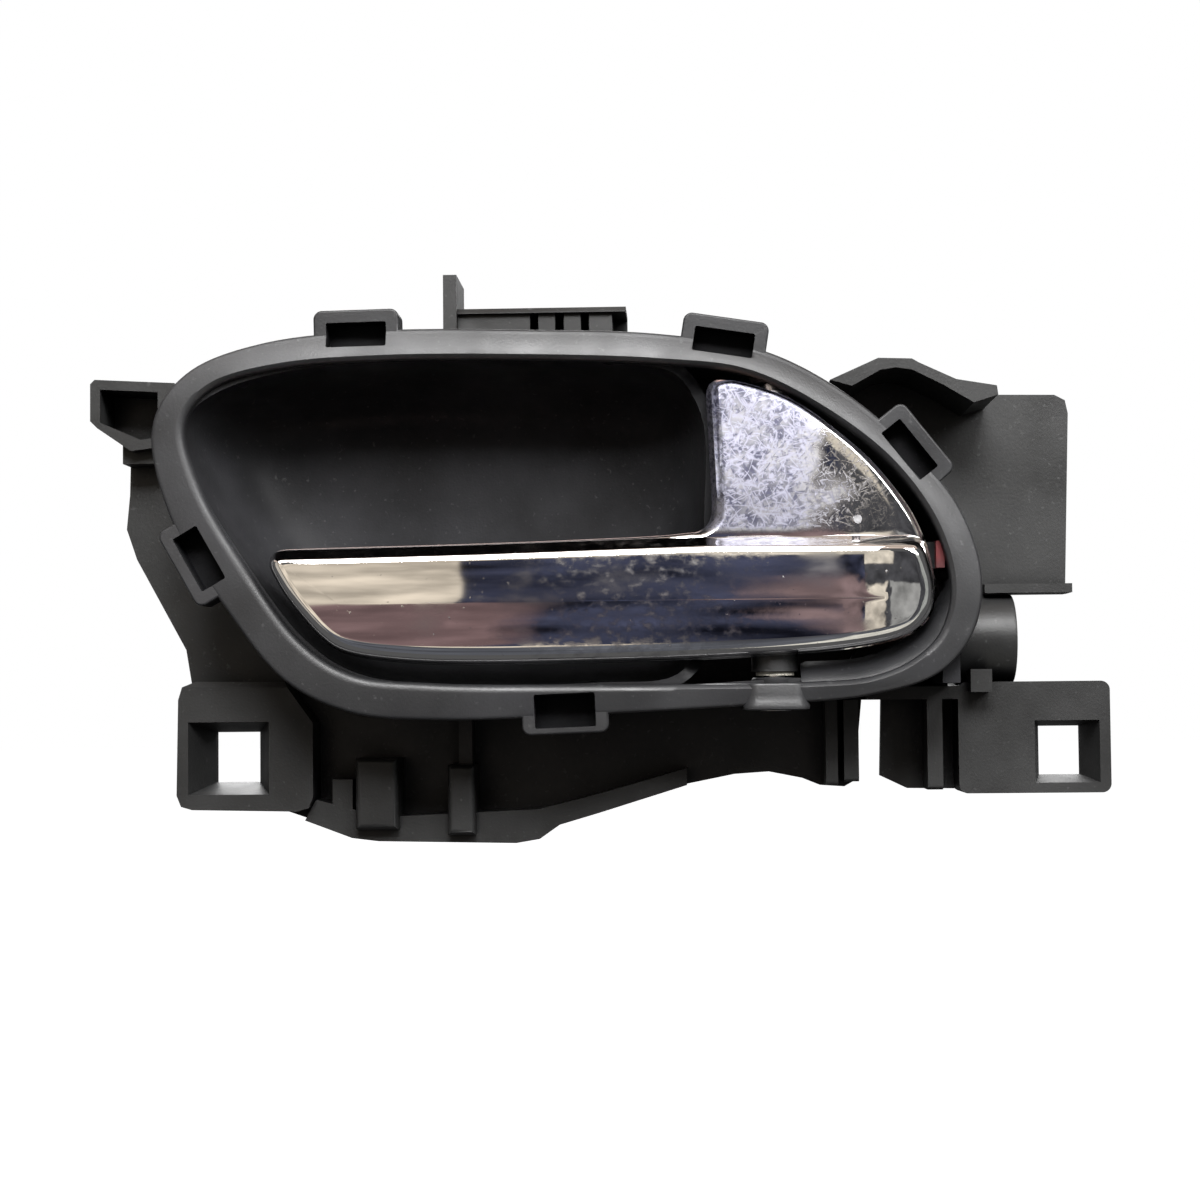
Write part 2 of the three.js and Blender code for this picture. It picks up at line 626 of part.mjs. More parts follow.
const HOOK_BOX_OUTER = [
  [-100.2, 60.9], [-98.9, 59.6], [-92.8, 55.4], [-88.3, 56], [-84.9, 62.5], [-84.9, 67.6],
  [-99.4, 68.4], [-100.2, 67.6],
];
const HOOK_BOX_INNER = [[-98.4, 60.6], [-91, 57.4], [-87.9, 57.8], [-87.9, 66], [-98.4, 66.6]];

const LEFT_TAB = [
  [-84.5, 10.5], [-84.8, -6.6], [-84, -8.6], [-82, -9.2], [-63.2, -9.6], [-61, -9],
  [-60.2, -7], [-60.2, 6.2], [-65.5, 13.6], [-81.5, 13.8], [-83.8, 12.8],
];

// A square hole that narrows from a wide mouth at the front to its window at the seat.
function funnel({ x, z, mouth, window }) {
  const rectangle = (y, [width, height]) => ({
    y,
    points: [[-1, -1], [1, -1], [1, 1], [-1, 1]].map(
      ([u, v]) => [x + u * width / 2, z + v * height / 2]),
  });
  return loft([
    rectangle(TAB_FRONT - 0.01, mouth),
    rectangle(PLATE_FRONT, window),
    rectangle(SEAT + PAST, window),
  ]);
}

// A block on the carrier, from its own front back into the plate or down to the seat.
function standing({ x, z, front }, back = ROOT) {
  return block(x, [front, back], z);
}

// The comb on the upper edge: a tall blade and a shelf with four teeth below it.
function topComb() {
  return [standing(BLADE, SEAT), standing(SHELF), ...TEETH_X.map((x) => standing({ x, ...TEETH }))];
}

// A hole through the carrier's plate with round corners.
function plateWindow({ x, z, corner }) {
  return slab(roundedBox(x, z, corner), [PLATE_FRONT * 2, PAST]);
}

function carrierFrame() {
  const hookBox = cut(
    slab(HOOK_BOX_OUTER, [HOOK_BOX.front, SEAT]),
    slab(HOOK_BOX_INNER, [HOOK_BOX.front - PAST, SEAT - HOOK_BOX.floor]),
  );
  const body = join(
    slab(PLATE_EDGE, [PLATE_FRONT, SEAT]),
    slab(SKIRT_LIP, [LIP_FRONT, ROOT]),
    slab(ROOF, [ROOF_FRONT, SEAT]),
    hookBox,
    standing(HOOK_BOX_FOOT, SEAT),
    slab(LEFT_TAB, [TAB_FRONT, SEAT]),
    slab(roundedBox(RIGHT_TAB.x, RIGHT_TAB.z, TAB_CORNER), [TAB_FRONT, SEAT]),
    standing({ ...TAB_SHELF, front: TAB_FRONT }),
    standing(BRACKET_LIP),
    standing(LUG),
    ...RIBS.map((rib) => standing(rib)),
    ...topComb(),
    ...SCREW_PLACES.map((place) => rod('y', place, [PAD_FRONT, SEAT], PAD_R)),
  );
  const holes = SCREW_PLACES.flatMap((place) => [
    rod('y', place, [PAD_FRONT - PAST, PAST], SCREW_R + 0.4, 12),
    rod('y', place, [HEAD_FLOOR, PAST], HEAD_ROOM, 20),
  ]);
  return cut(
    body,
    funnel(LEFT_HOLE),
    funnel(RIGHT_HOLE),
    plateWindow(ARM_WINDOW),
    plateWindow(TUB_WINDOW),
    rod('x', [CABLE_Y, CABLE_Z], [LINER_X[0] - GAP, GUIDE_X[1] + PAST], GUIDE_R + GAP, 32),
    block(BRACKET_NOTCH.x, [BRACKET_LIP.front - PAST, SEAT + PAST], BRACKET_NOTCH.z),
    ...holes,
  );
}

// ---------------------------------------------------------------- cable guide

function cableGuide() {
  const centre = [CABLE_Y, CABLE_Z];
  const barrel = rod('x', centre, GUIDE_X, GUIDE_R, 32);
  const bore = rod('x', centre, [GUIDE_X[0] - PAST, GUIDE_X[1] + PAST], GUIDE_BORE, 20);
  const mouth = rod('x', centre, [GUIDE_X[1] - 2.5, GUIDE_X[1] + PAST], GUIDE_BORE + 1.8, 20);
  return cut(barrel, bore, mouth);
}

// ---------------------------------------------------------------- assembly

add('bezel_tub', bezelTub(), bezelPlastic);
add('carrier_frame', carrierFrame(), carrierPlastic);
add('cable_guide', cableGuide(), carrierPlastic);
add('cable_liner', tube('x', [CABLE_Y, CABLE_Z], LINER_X, LINER_OUTER, LINER_INNER, 20), nylon);
add('pivot_pin', pivotPin(), steel);
add('pin_retaining_clip', retainingClip(), steel);
add('return_spring', returnSpring(), steel);
add('closed_stop_bumper', block(CLOSED_STOP.x, CLOSED_STOP.y, STOP_Z), redRubber);
add(
  'open_stop_bumper',
  slab(roundedBox(OPEN_STOP.x, OPEN_STOP.z, OPEN_STOP.corner), OPEN_STOP.y),
  blackRubber,
);
SCREW_PLACES.forEach((place, i) => {
  const piece = screwAlongY(
    place, [SCREW_TIP, HEAD_FLOOR + GAP], SCREW_R, SCREW_HEAD, HEAD_HEIGHT);
  add(`carrier_screw_${i + 1}`, piece, steel);
});

add('lever_shell', leverShell(), chrome);
add('lever_core', leverCore(), leverPlastic);
add('lever_bush_lower', bush(LOWER_BUSH, LOWER_BUSH[0] - 0.1), nylon);
add('lever_bush_upper', bush(UPPER_BUSH, UPPER_BUSH[1] - 0.1), nylon);
SHELL_SCREW_PLACES.forEach((place, i) => {
  const { tip, seat, r, head, height } = SHELL_SCREW;
  const piece = screwAlongY(place, [tip, seat], r, head, height);
  add(`shell_screw_${i + 1}`, piece, steel);
});

export default group;
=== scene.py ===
"""Looks of an interior car door handle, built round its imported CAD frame.

Shapes are worked out in millimetres in the CAD's own frame and stored in metres.
+X is to the right seen from the cabin, +Z is up and +Y points into the door.
"""

import json
import math

import bmesh
import bpy
import numpy as np
from mathutils import Matrix, Vector


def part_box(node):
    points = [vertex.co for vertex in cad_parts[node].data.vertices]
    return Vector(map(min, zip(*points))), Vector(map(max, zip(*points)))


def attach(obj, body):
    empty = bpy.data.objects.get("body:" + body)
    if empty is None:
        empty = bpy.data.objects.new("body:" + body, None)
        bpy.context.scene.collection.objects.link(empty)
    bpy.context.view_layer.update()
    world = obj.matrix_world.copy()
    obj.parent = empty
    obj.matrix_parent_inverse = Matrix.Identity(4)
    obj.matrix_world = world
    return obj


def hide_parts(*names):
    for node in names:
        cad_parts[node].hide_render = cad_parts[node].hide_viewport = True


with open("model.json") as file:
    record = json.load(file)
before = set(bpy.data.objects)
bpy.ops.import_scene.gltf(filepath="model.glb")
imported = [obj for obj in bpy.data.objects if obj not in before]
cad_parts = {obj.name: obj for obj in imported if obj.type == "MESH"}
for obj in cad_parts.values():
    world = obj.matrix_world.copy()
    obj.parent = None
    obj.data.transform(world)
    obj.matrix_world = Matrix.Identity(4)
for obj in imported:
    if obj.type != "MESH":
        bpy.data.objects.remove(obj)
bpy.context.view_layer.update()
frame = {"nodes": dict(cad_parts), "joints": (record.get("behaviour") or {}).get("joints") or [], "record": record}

MM = 0.001

# ---------------------------------------------------------------- sizes taken from the frame


def span(node, axis):
    """Lowest and highest coordinate of a CAD node along an axis, in millimetres."""
    low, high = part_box(node)
    return low[axis] / MM, high[axis] / MM


BAR_FRONT, LEVER_BACK = span("lever_shell", 1)
LEVER_FRONT = BAR_FRONT + 2.6
BEZEL_FRONT, HOUSING_BACK = span("bezel_tub", 1)
BEZEL_BACK = BEZEL_FRONT + 2.5
HOOK_BACK = BEZEL_FRONT + 7
TUB_FLOOR = -5
PAD_FRONT = -5
TAB_FRONT = -11
WALL = 1.8
PIVOT_X, PIVOT_Y = (place / MM for place in frame["joints"][0]["pos_m"][:2])

# ---------------------------------------------------------------- outlines in the XZ plane

BEZEL_EDGE = [
    [-85, 55.2], [-81.2, 40.7], [-72.4, 26.5], [-62.1, 13.7], [-50.6, 8], [-35.2, 6.6],
    [-8, 7.4], [16.6, 8.6], [37.7, 10.2], [49.5, 13.9], [55.5, 21], [57, 30.3],
    [53.3, 42.2], [44.2, 53.4], [33.4, 62.6], [20.7, 69.3], [2.9, 72.5], [-21.1, 73.6],
    [-45.1, 73.9], [-65.5, 72], [-77.7, 67.7], [-83.4, 61.6],
]
BEZEL_OPENING = [
    [-79.2, 56.5], [-76.3, 46.5], [-69.4, 34.4], [-59.1, 20.2], [-50.6, 14.7], [-36.9, 13],
    [-8, 12.5], [12.4, 12.4], [28, 12.6], [38, 13.4], [45, 16.2], [49.6, 20.6], [51.6, 27.8],
    [49.4, 38], [41.9, 49.2], [30.2, 58.6], [17.4, 65.1], [2.8, 67.1], [-21.1, 68.2],
    [-45.2, 68.4], [-62.4, 67.3], [-73.7, 64.4], [-78, 60.6],
]
TUB_MOUTH = [
    [-79.2, 56.5], [-76.3, 46.5], [-69, 34.4], [-58.6, 20.6], [-50, 14.9], [-36.9, 12.8],
    [-8, 12.8], [5, 14], [9.4, 20], [10.2, 40], [9.9, 59], [5.5, 65.6],
    [-4, 67.4], [-21.1, 68.1], [-45.2, 68.3], [-62.4, 66.9], [-73.2, 63.8], [-78, 60.4],
]
TUB_CENTRE = [-31, 40]
PARTITION_SET_BACK = 4.2

CLIP_SLOTS = [
    {"x": -49.5, "z": 73.1, "turn": 1, "width": 4.4, "wall": 2.2},
    {"x": 13.7, "z": 70.8, "turn": -9, "width": 4.4, "wall": 2.2},
    {"x": 45.1, "z": 51.9, "turn": -52, "width": 4.2, "wall": 2.2},
    {"x": -76.6, "z": 34.7, "turn": 119.5, "width": 4.8, "wall": 2},
    {"x": -14, "z": 8.1, "turn": 182, "width": 5.8, "wall": 1.1},
]
SLOT_LENGTH = 10.4
HOOK_WALL = 2.2
HOOK_FLOOR = 1.2

# ---------------------------------------------------------------- curves and loops


def resample(points, count):
    """Points spaced evenly along a closed polyline."""
    points = np.array(points, float)
    points = np.vstack([points, points[:1]])
    steps = np.linalg.norm(np.diff(points, axis=0), axis=1)
    along = np.concatenate([[0], np.cumsum(steps)])
    wanted = np.linspace(0, along[-1], count, endpoint=False)
    return np.stack([np.interp(wanted, along, points[:, k]) for k in range(2)], 1)


def smooth_loop(points, count):
    """A closed centripetal Catmull-Rom curve through the points, evenly spaced."""
    points = np.array(points, float)
    dense = []
    for i in range(len(points)):
        p = [points[(i + k - 1) % len(points)] for k in range(4)]
        t = [0.0]
        for a, b in zip(p, p[1:]):
            t.append(t[-1] + np.linalg.norm(b - a) ** 0.5)
        for s in np.linspace(t[1], t[2], 16, endpoint=False):
            a = [
                ((t[k + 1] - s) * p[k] + (s - t[k]) * p[k + 1]) / (t[k + 1] - t[k])
                for k in range(3)
            ]
            b = [
                ((t[k + 2] - s) * a[k] + (s - t[k]) * a[k + 1]) / (t[k + 2] - t[k])
                for k in range(2)
            ]
            dense.append(((t[2] - s) * b[0] + (s - t[1]) * b[1]) / (t[2] - t[1]))
    return resample(dense, count)


def inset(loop, distance):
    """Moves an anticlockwise loop inwards, each point square to the loop."""
    along = np.roll(loop, -1, 0) - np.roll(loop, 1, 0)
    along /= np.linalg.norm(along, axis=1)[:, None]
    distance = np.broadcast_to(np.asarray(distance, float), len(loop))
    return loop + distance[:, None] * np.stack([-along[:, 1], along[:, 0]], 1)


def in_ring(loop, y):
    """A flat loop placed at depth y, or at one depth for each point."""
    depth = np.broadcast_to(np.asarray(y, float), len(loop))
    return np.stack([loop[:, 0], depth, loop[:, 1]], 1)


def ramp(values, start, end):
    """Rises from 0 at the start to 1 at the end, and stays level outside them."""
    return np.clip((values - start) / (end - start), 0, 1)


def mix(a, b, share):
    """The point, or the number, at a share of the way from a to b."""
    return a + (b - a) * share


# ---------------------------------------------------------------- meshes


def keep_mesh(name, bm, sharp=30):
    """Stores a mesh drawn in millimetres, smooth apart from edges sharper than the angle."""
    bmesh.ops.recalc_face_normals(bm, faces=bm.faces)
    limit = math.radians(sharp)
    for edge in bm.edges:
        edge.smooth = edge.is_manifold and edge.calc_face_angle(0) < limit
    for face in bm.faces:
        face.smooth = True
    bmesh.ops.scale(bm, vec=(MM, MM, MM), verts=bm.verts)
    mesh = bpy.data.meshes.new(name)
    bm.to_mesh(mesh)
    bm.free()
    piece = bpy.data.objects.new(name, mesh)
    bpy.context.scene.collection.objects.link(piece)
    return piece


def add_rings(bm, rings, closed=False):
    """Joins equal rings of points into one skin. A closed one ends where it began."""
    made = [[bm.verts.new(point) for point in ring] for ring in rings]
    pairs = list(zip(made, made[1:]))
    if closed:
        pairs.append((made[-1], made[0]))
    for low, high in pairs:
        for i in range(len(low)):
            j = (i + 1) % len(low)
            bm.faces.new((low[i], low[j], high[j], high[i]))
    if not closed:
        bm.faces.new(made[0][::-1])
        bm.faces.new(made[-1])


def sharp_edges(bm, degrees):
    """Edges between two faces that meet at more than the angle."""
    limit = math.radians(degrees)
    return [e for e in bm.edges if e.is_manifold and e.calc_face_angle(0) > limit]


def round_off(bm, edges, size, segments):
    """Rounds edges, or chamfers them when there is one segment."""
    bmesh.ops.bevel(
        bm, geom=edges, offset=size, offset_type="OFFSET", segments=segments,
        profile=0.5, affect="EDGES", clamp_overlap=True,
    )


def in_box(edge, low, high):
    """True for an edge whose both ends lie in the box."""
    return all(low[k] <= v.co[k] <= high[k] for v in edge.verts for k in range(3))


MOULDED_SHARP = 35
FLAT = math.radians(0.6)


def moulded_copy(node, radius, broad=()):
    """The CAD node's shape with its sharp edges rounded, as a mould leaves them.

    Each broad entry names a box whose edges get a larger round of their own first.
    """
    bm = bmesh.new()
    bm.from_mesh(frame["nodes"][node].data)
    bmesh.ops.scale(bm, vec=(1 / MM,) * 3, verts=bm.verts)
    bmesh.ops.remove_doubles(bm, verts=bm.verts, dist=0.02)
    bmesh.ops.dissolve_limit(bm, angle_limit=FLAT, verts=bm.verts, edges=bm.edges)
    for low, high, size, segments in broad:
        edges = [e for e in sharp_edges(bm, MOULDED_SHARP) if in_box(e, low, high)]
        round_off(bm, edges, size, segments)
    round_off(bm, sharp_edges(bm, MOULDED_SHARP), radius, 2)
    return even_normals(keep_mesh(node + "_moulded", bm))


def apply_modifiers(piece):
    """Makes the piece's modifiers part of its mesh."""
    bpy.context.view_layer.update()
    graph = bpy.context.evaluated_depsgraph_get()
    mesh = bpy.data.meshes.new_from_object(piece.evaluated_get(graph))
    piece.modifiers.clear()
    piece.data = mesh


def even_normals(piece):
    """Keeps broad flat faces flat in the shading, beside edges that were rounded."""
    step = piece.modifiers.new("normals", "WEIGHTED_NORMAL")
    step.keep_sharp = True
    apply_modifiers(piece)
    return piece


def rounded_rectangle(half_length, low, high, radius, count=10):
    """A rectangle with round corners, anticlockwise, along X by [low, high] in Z."""
    corners = [
        (half_length - radius, low + radius, -90), (half_length - radius, high - radius, 0),
        (radius - half_length, high - radius, 90), (radius - half_length, low + radius, 180),
    ]
    points = []
    for x, z, start in corners:
        for angle in np.radians(np.linspace(start, start + 90, count)):
            points.append([x + radius * math.cos(angle), z + radius * math.sin(angle)])
    return np.array(points)


def place_loop(loop, x, z, turn):
    """Turns a loop drawn round the origin, anticlockwise in degrees, and moves it."""
    c, s = math.cos(math.radians(turn)), math.sin(math.radians(turn))
    return loop @ np.array([[c, s], [-s, c]]) + np.array([x, z])


def prism_rings(loop, front, back, fillet=0.0):
    """Rings of a slab whose front edge is rounded, or square without a fillet."""
    rings = [in_ring(loop, back)]
    for angle in np.linspace(0, 1, 4 if fillet else 1) * math.pi / 2:
        moved = inset(loop, fillet * (1 - math.cos(angle)))
        rings.append(in_ring(moved, front + fillet * (1 - math.sin(angle))))
    return rings


def rectangle(x, z):
    """The corners of a rectangle from its two ranges, anticlockwise."""
    return np.array([[x[0], z[0]], [x[1], z[0]], [x[1], z[1]], [x[0], z[1]]], float)


def box_rings(x, y, z):
    """The two ends of a box along Y."""
    return [in_ring(rectangle(x, z), y[1]), in_ring(rectangle(x, z), y[0])]


def solid_of(rings, closed=False):
    """A closed solid from rings, as an object in millimetres for joining and cutting."""
    bm = bmesh.new()
    add_rings(bm, rings, closed)
    bmesh.ops.recalc_face_normals(bm, faces=bm.faces)
    mesh = bpy.data.meshes.new("solid")
    bm.to_mesh(mesh)
    bm.free()
    made = bpy.data.objects.new("solid", mesh)
    bpy.context.scene.collection.objects.link(made)
    return made


def combine(base, others, operation):
    """Joins the others to the base, or cuts them from it."""
    for other in others:
        step = base.modifiers.new("combine", "BOOLEAN")
        step.operation = operation
        step.solver = "EXACT"
        step.object = other
        apply_modifiers(base)
        bpy.data.objects.remove(other)
    return base


def take_mesh(made):
    """The mesh of a solid, as a bmesh, and no object any more."""
    bm = bmesh.new()
    bm.from_mesh(made.data)
    bpy.data.objects.remove(made)
    return bm


# ---------------------------------------------------------------- node materials


def new_material(name):
    """A node material, with its nodes and links."""
    material = bpy.data.materials.new(name)
    material.use_nodes = True
    return material, material.node_tree.nodes, material.node_tree.links


def noise(nodes, links, scale, detail=4, stretch=(1, 1, 1)):
    """Noise in the object's own metres, a given number of cycles per metre."""
    place = nodes.new("ShaderNodeTexCoord")
    mapping = nodes.new("ShaderNodeMapping")
    mapping.inputs["Scale"].default_value = stretch
    links.new(place.outputs["Object"], mapping.inputs["Vector"])
    texture = nodes.new("ShaderNodeTexNoise")
    texture.inputs["Scale"].default_value = scale
    texture.inputs["Detail"].default_value = detail
    links.new(mapping.outputs["Vector"], texture.inputs["Vector"])
    return texture.outputs["Fac"]


def axes(nodes, links):
    """The object's own X, Y and Z, in metres."""
    place = nodes.new("ShaderNodeTexCoord")
    parts = nodes.new("ShaderNodeSeparateXYZ")
    links.new(place.outputs["Object"], parts.inputs["Vector"])
    return parts.outputs


def math_node(nodes, links, operation, *values):
    """One step of arithmetic on sockets and plain numbers."""
    node = nodes.new("ShaderNodeMath")
    node.operation = operation
    for socket, value in zip(node.inputs, values):
        if isinstance(value, (int, float)):
            socket.default_value = value
        else:
            links.new(value, socket)
    return node.outputs[0]


def multiply(nodes, links, a, b):
    """The product of two values."""
    return math_node(nodes, links, "MULTIPLY", a, b)


def highest(nodes, links, *values):
    """The largest of several values."""
    top = values[0]
    for value in values[1:]:
        top = math_node(nodes, links, "MAXIMUM", top, value)
    return top


def remap(nodes, links, value, low, high, to_low, to_high):
    """The value carried from one range to another, and held at its ends."""
    node = nodes.new("ShaderNodeMapRange")
    node.inputs["From Min"].default_value = low
    node.inputs["From Max"].default_value = high
    node.inputs["To Min"].default_value = to_low
    node.inputs["To Max"].default_value = to_high
    links.new(value, node.inputs["Value"])
    return node.outputs["Result"]


def blend_colours(nodes, links, share, a, b):
    """Colour a where the share is 0 and colour b where it is 1."""
    node = nodes.new("ShaderNodeMix")
    node.data_type = "RGBA"
    links.new(share, node.inputs["Factor"])
    for socket, colour in ((6, a), (7, b)):
        if isinstance(colour, (tuple, list)):
            node.inputs[socket].default_value = (*colour, 1)
        else:
            links.new(colour, node.inputs[socket])
    return node.outputs[2]


def bump(nodes, links, shader, height, strength, distance, under=None):
    """Relief from a height, laid over another relief when there is one."""
    node = nodes.new("ShaderNodeBump")
    node.inputs["Strength"].default_value = strength
    node.inputs["Distance"].default_value = distance
    links.new(height, node.inputs["Height"])
    if under is not None:
        links.new(under, node.inputs["Normal"])
    links.new(node.outputs["Normal"], shader.inputs["Normal"])
    return node.outputs["Normal"]


def vary_roughness(nodes, links, shader, pattern, low, high):
    """Roughness that wanders between two values with a pattern."""
    links.new(remap(nodes, links, pattern, 0.3, 0.7, low, high), shader.inputs["Roughness"])


FLECK = (0.1, 0.1, 0.1)
# painted shade: the near-black colour laid in hollows, and the reach of the occlusion that finds them
HOLLOW_SHADE = (0.004, 0.004, 0.0045)
HOLLOW_SIZE = 7 * MM
MATT_OVER = 1.2
MATT_SHARE = 0.14


def plastic(name, colour, worn, roughness, shine=0.5, deep=None):
    """Moulded plastic: fine grain, rubbed patches, pale flecks, and painted shade that darkens and dulls its
    hollows.

    Deeper than the depth called deep, its shine fades to matt.
    """
    material, nodes, links = new_material(name)
    shader = nodes["Principled BSDF"]
    patches = remap(nodes, links, noise(nodes, links, 60, 6), 0.42, 0.68, 0, 1)
    base = blend_colours(nodes, links, patches, colour, worn)
    flecks = remap(nodes, links, noise(nodes, links, 1000, 5), 0.64, 0.74, 0, 0.3)
    base = blend_colours(nodes, links, flecks, base, FLECK)
    # Painted shade: occlusion darkens the colour towards near-black and cuts the shine in hollows, slots and
    # corners.
    cavity = nodes.new("ShaderNodeAmbientOcclusion")
    cavity.inputs["Distance"].default_value = HOLLOW_SIZE
    cavity.samples = 8
    open_to_light = remap(nodes, links, cavity.outputs["AO"], 0.2, 0.75, 0.2, 1)
    hollow_shaded = blend_colours(nodes, links, open_to_light, HOLLOW_SHADE, base)
    links.new(hollow_shaded, shader.inputs["Base Color"])
    sheen = multiply(nodes, links, open_to_light, shine)
    if deep:
        depth = axes(nodes, links)["Y"]
        full = (deep + MATT_OVER) * MM
        matt = remap(nodes, links, depth, deep * MM, full, 1, MATT_SHARE)
        sheen = multiply(nodes, links, sheen, matt)
    links.new(sheen, shader.inputs["Specular IOR Level"])
    rubbed = noise(nodes, links, 90, 9)
    vary_roughness(nodes, links, shader, rubbed, roughness - 0.09, roughness + 0.12)
    fine = bump(nodes, links, shader, noise(nodes, links, 2200, 4), 0.5, 0.00006)
    bump(nodes, links, shader, noise(nodes, links, 70, 2), 0.25, 0.0004, fine)
    return material


def scratches(nodes, links, turn, scale, width):
    """Short curved marks that run mostly in one direction: 1 on a mark and 0 elsewhere."""
    place = nodes.new("ShaderNodeTexCoord")
    mapping = nodes.new("ShaderNodeMapping")
    mapping.vector_type = "TEXTURE"
    mapping.inputs["Location"].default_value = (0.01 * turn, 0, 0.02 * turn)
    mapping.inputs["Rotation"].default_value = (0, math.radians(turn), 0)
    mapping.inputs["Scale"].default_value = (1, 1, 4)
    links.new(place.outputs["Object"], mapping.inputs["Vector"])
    field = nodes.new("ShaderNodeTexNoise")
    field.inputs["Scale"].default_value = scale
    field.inputs["Detail"].default_value = 1
    links.new(mapping.outputs["Vector"], field.inputs["Vector"])
    off = math_node(nodes, links, "SUBTRACT", field.outputs["Fac"], 0.5)
    away = math_node(nodes, links, "ABSOLUTE", off)
    line = remap(nodes, links, away, 0, width, 1, 0)
    broken = remap(nodes, links, noise(nodes, links, 1.3 * scale, 2), 0.46, 0.54, 0, 1)
    return multiply(nodes, links, line, broken)


# direction and scale of the scratches on the wide plate
PALE_MARKS = [(20, 640), (50, 720), (75, 600), (100, 680), (140, 560), (-30, 700)]
DARK_MARKS = [(40, 610), (85, 660), (-15, 700)]
MARK_WIDTH = 0.05
BRIGHT = (0.85, 0.84, 0.84)
HAZED = (0.065, 0.065, 0.09)
DARK_SCORE = (0.075, 0.075, 0.11)
PALE_SCORE = (0.28, 0.28, 0.34)
# painted reflection: the warm colour given to plating that faces upwards
PAINTED_TOP_REFLECTION = (0.5, 0.34, 0.3)
# where wear on the plating begins and ends: along Z for the wide plate, else along X
PLATE_FOOT = (37.5 * MM, 39 * MM)
HAZE_ENDS = (24 * MM, 35 * MM)
SCORES_END = (26 * MM, 42 * MM)
THUMB_BEGINS = (-22 * MM, -8 * MM)
THUMB_ENDS = (6 * MM, 26 * MM)
# how far those ends wander
WANDER = 6 * MM


def all_marks(nodes, links, marks):
    """Scratches in several directions together."""
    return highest(nodes, links, *[
        scratches(nodes, links, turn, scale, MARK_WIDTH) for turn, scale in marks
    ])


def dullness(nodes, links, along, plate):
    """Haze on the plate, smudges and specks all over, and finger wear on the bar."""
    haze = remap(nodes, links, noise(nodes, links, 300, 8), 0.3, 0.65, 0.75, 1)
    smudge = remap(nodes, links, noise(nodes, links, 70, 12, (1, 1, 2)), 0.52, 0.75, 0, 0.3)
    specks = remap(nodes, links, noise(nodes, links, 1100, 3), 0.7, 0.76, 0, 0.5)
    thumbed = multiply(
        nodes, links,
        remap(nodes, links, along, *THUMB_BEGINS, 0, 1),
        remap(nodes, links, along, *THUMB_ENDS, 1, 0),
    )
    rubbed = remap(nodes, links, noise(nodes, links, 520, 10, (1, 1, 1.5)), 0.42, 0.75, 0, 0.4)
    return highest(
        nodes, links, multiply(nodes, links, haze, plate), smudge, specks,
        multiply(nodes, links, rubbed, thumbed),
    )


def chrome(name):
    """Bright plating with smudges, and a wide plate hazed and scratched by fingernails.

    Faces turned upwards are tinted warm and made less metallic: a painted reflection, the thin warm line above the
    bar.
    """
    material, nodes, links = new_material(name)
    shader = nodes["Principled BSDF"]
    place = axes(nodes, links)
    high = remap(nodes, links, place["Z"], *PLATE_FOOT, 0, 1)
    uneven = remap(nodes, links, noise(nodes, links, 130, 6), 0.3, 0.7, -WANDER, WANDER)
    along = math_node(nodes, links, "ADD", place["X"], uneven)
    plate = multiply(nodes, links, high, remap(nodes, links, along, *HAZE_ENDS, 1, 0.05))
    hazed = dullness(nodes, links, along, plate)
    worn = remap(nodes, links, along, *SCORES_END, 1, 0.15)
    pale = multiply(nodes, links, all_marks(nodes, links, PALE_MARKS), high)
    pale = multiply(nodes, links, pale, worn)
    dark = multiply(nodes, links, all_marks(nodes, links, DARK_MARKS), plate)
    dull = highest(nodes, links, hazed, multiply(nodes, links, pale, 0.85))
    links.new(remap(nodes, links, dull, 0, 1, 0.03, 0.55), shader.inputs["Roughness"])
    colour = blend_colours(nodes, links, hazed, BRIGHT, HAZED)
    colour = blend_colours(nodes, links, dark, colour, DARK_SCORE)
    colour = blend_colours(nodes, links, pale, colour, PALE_SCORE)
    # Painted reflection: faces turned upwards are tinted warm and made less metallic.
    facing = nodes.new("ShaderNodeSeparateXYZ")
    links.new(nodes.new("ShaderNodeNewGeometry").outputs["Normal"], facing.inputs["Vector"])
    painted_reflection_share = remap(nodes, links, facing.outputs["Z"], 0.85, 0.97, 0, 1)
    colour = blend_colours(nodes, links, painted_reflection_share, colour, PAINTED_TOP_REFLECTION)
    links.new(remap(nodes, links, painted_reflection_share, 0, 1, 1, 0.35), shader.inputs["Metallic"])
    links.new(colour, shader.inputs["Base Color"])
    waves = bump(nodes, links, shader, noise(nodes, links, 40, 1), 0.25, 0.0008)
    bump(nodes, links, shader, dull, 0.3, 0.00003, waves)
    return material


def plated_steel(name, colour, roughness):
    """Zinc-plated steel with darker stains and fine drawing lines."""
    material, nodes, links = new_material(name)
    shader = nodes["Principled BSDF"]
    shader.inputs["Metallic"].default_value = 1
    stains = remap(nodes, links, noise(nodes, links, 300, 5), 0.4, 0.7, 0, 1)
    dark = tuple(0.55 * c for c in colour)
    links.new(blend_colours(nodes, links, stains, colour, dark), shader.inputs["Base Color"])
    rubbed = noise(nodes, links, 500, 4)
    vary_roughness(nodes, links, shader, rubbed, roughness - 0.1, roughness + 0.15)
    bump(nodes, links, shader, noise(nodes, links, 1800, 3, (1, 1, 0.2)), 0.3, 0.00003)
    return material


def soft_material(name, colour, other, roughness, scale):
    """Nylon or rubber: a dull surface with slow changes of colour and a fine bump."""
    material, nodes, links = new_material(name)
    shader = nodes["Principled BSDF"]
    share = remap(nodes, links, noise(nodes, links, scale, 5), 0.35, 0.7, 0, 1)
    links.new(blend_colours(nodes, links, share, colour, other), shader.inputs["Base Color"])
    rubbed = noise(nodes, links, 2 * scale, 3)
    vary_roughness(nodes, links, shader, rubbed, roughness - 0.1, roughness + 0.1)
    bump(nodes, links, shader, noise(nodes, links, 9 * scale, 2), 0.3, 0.00003)
    return material


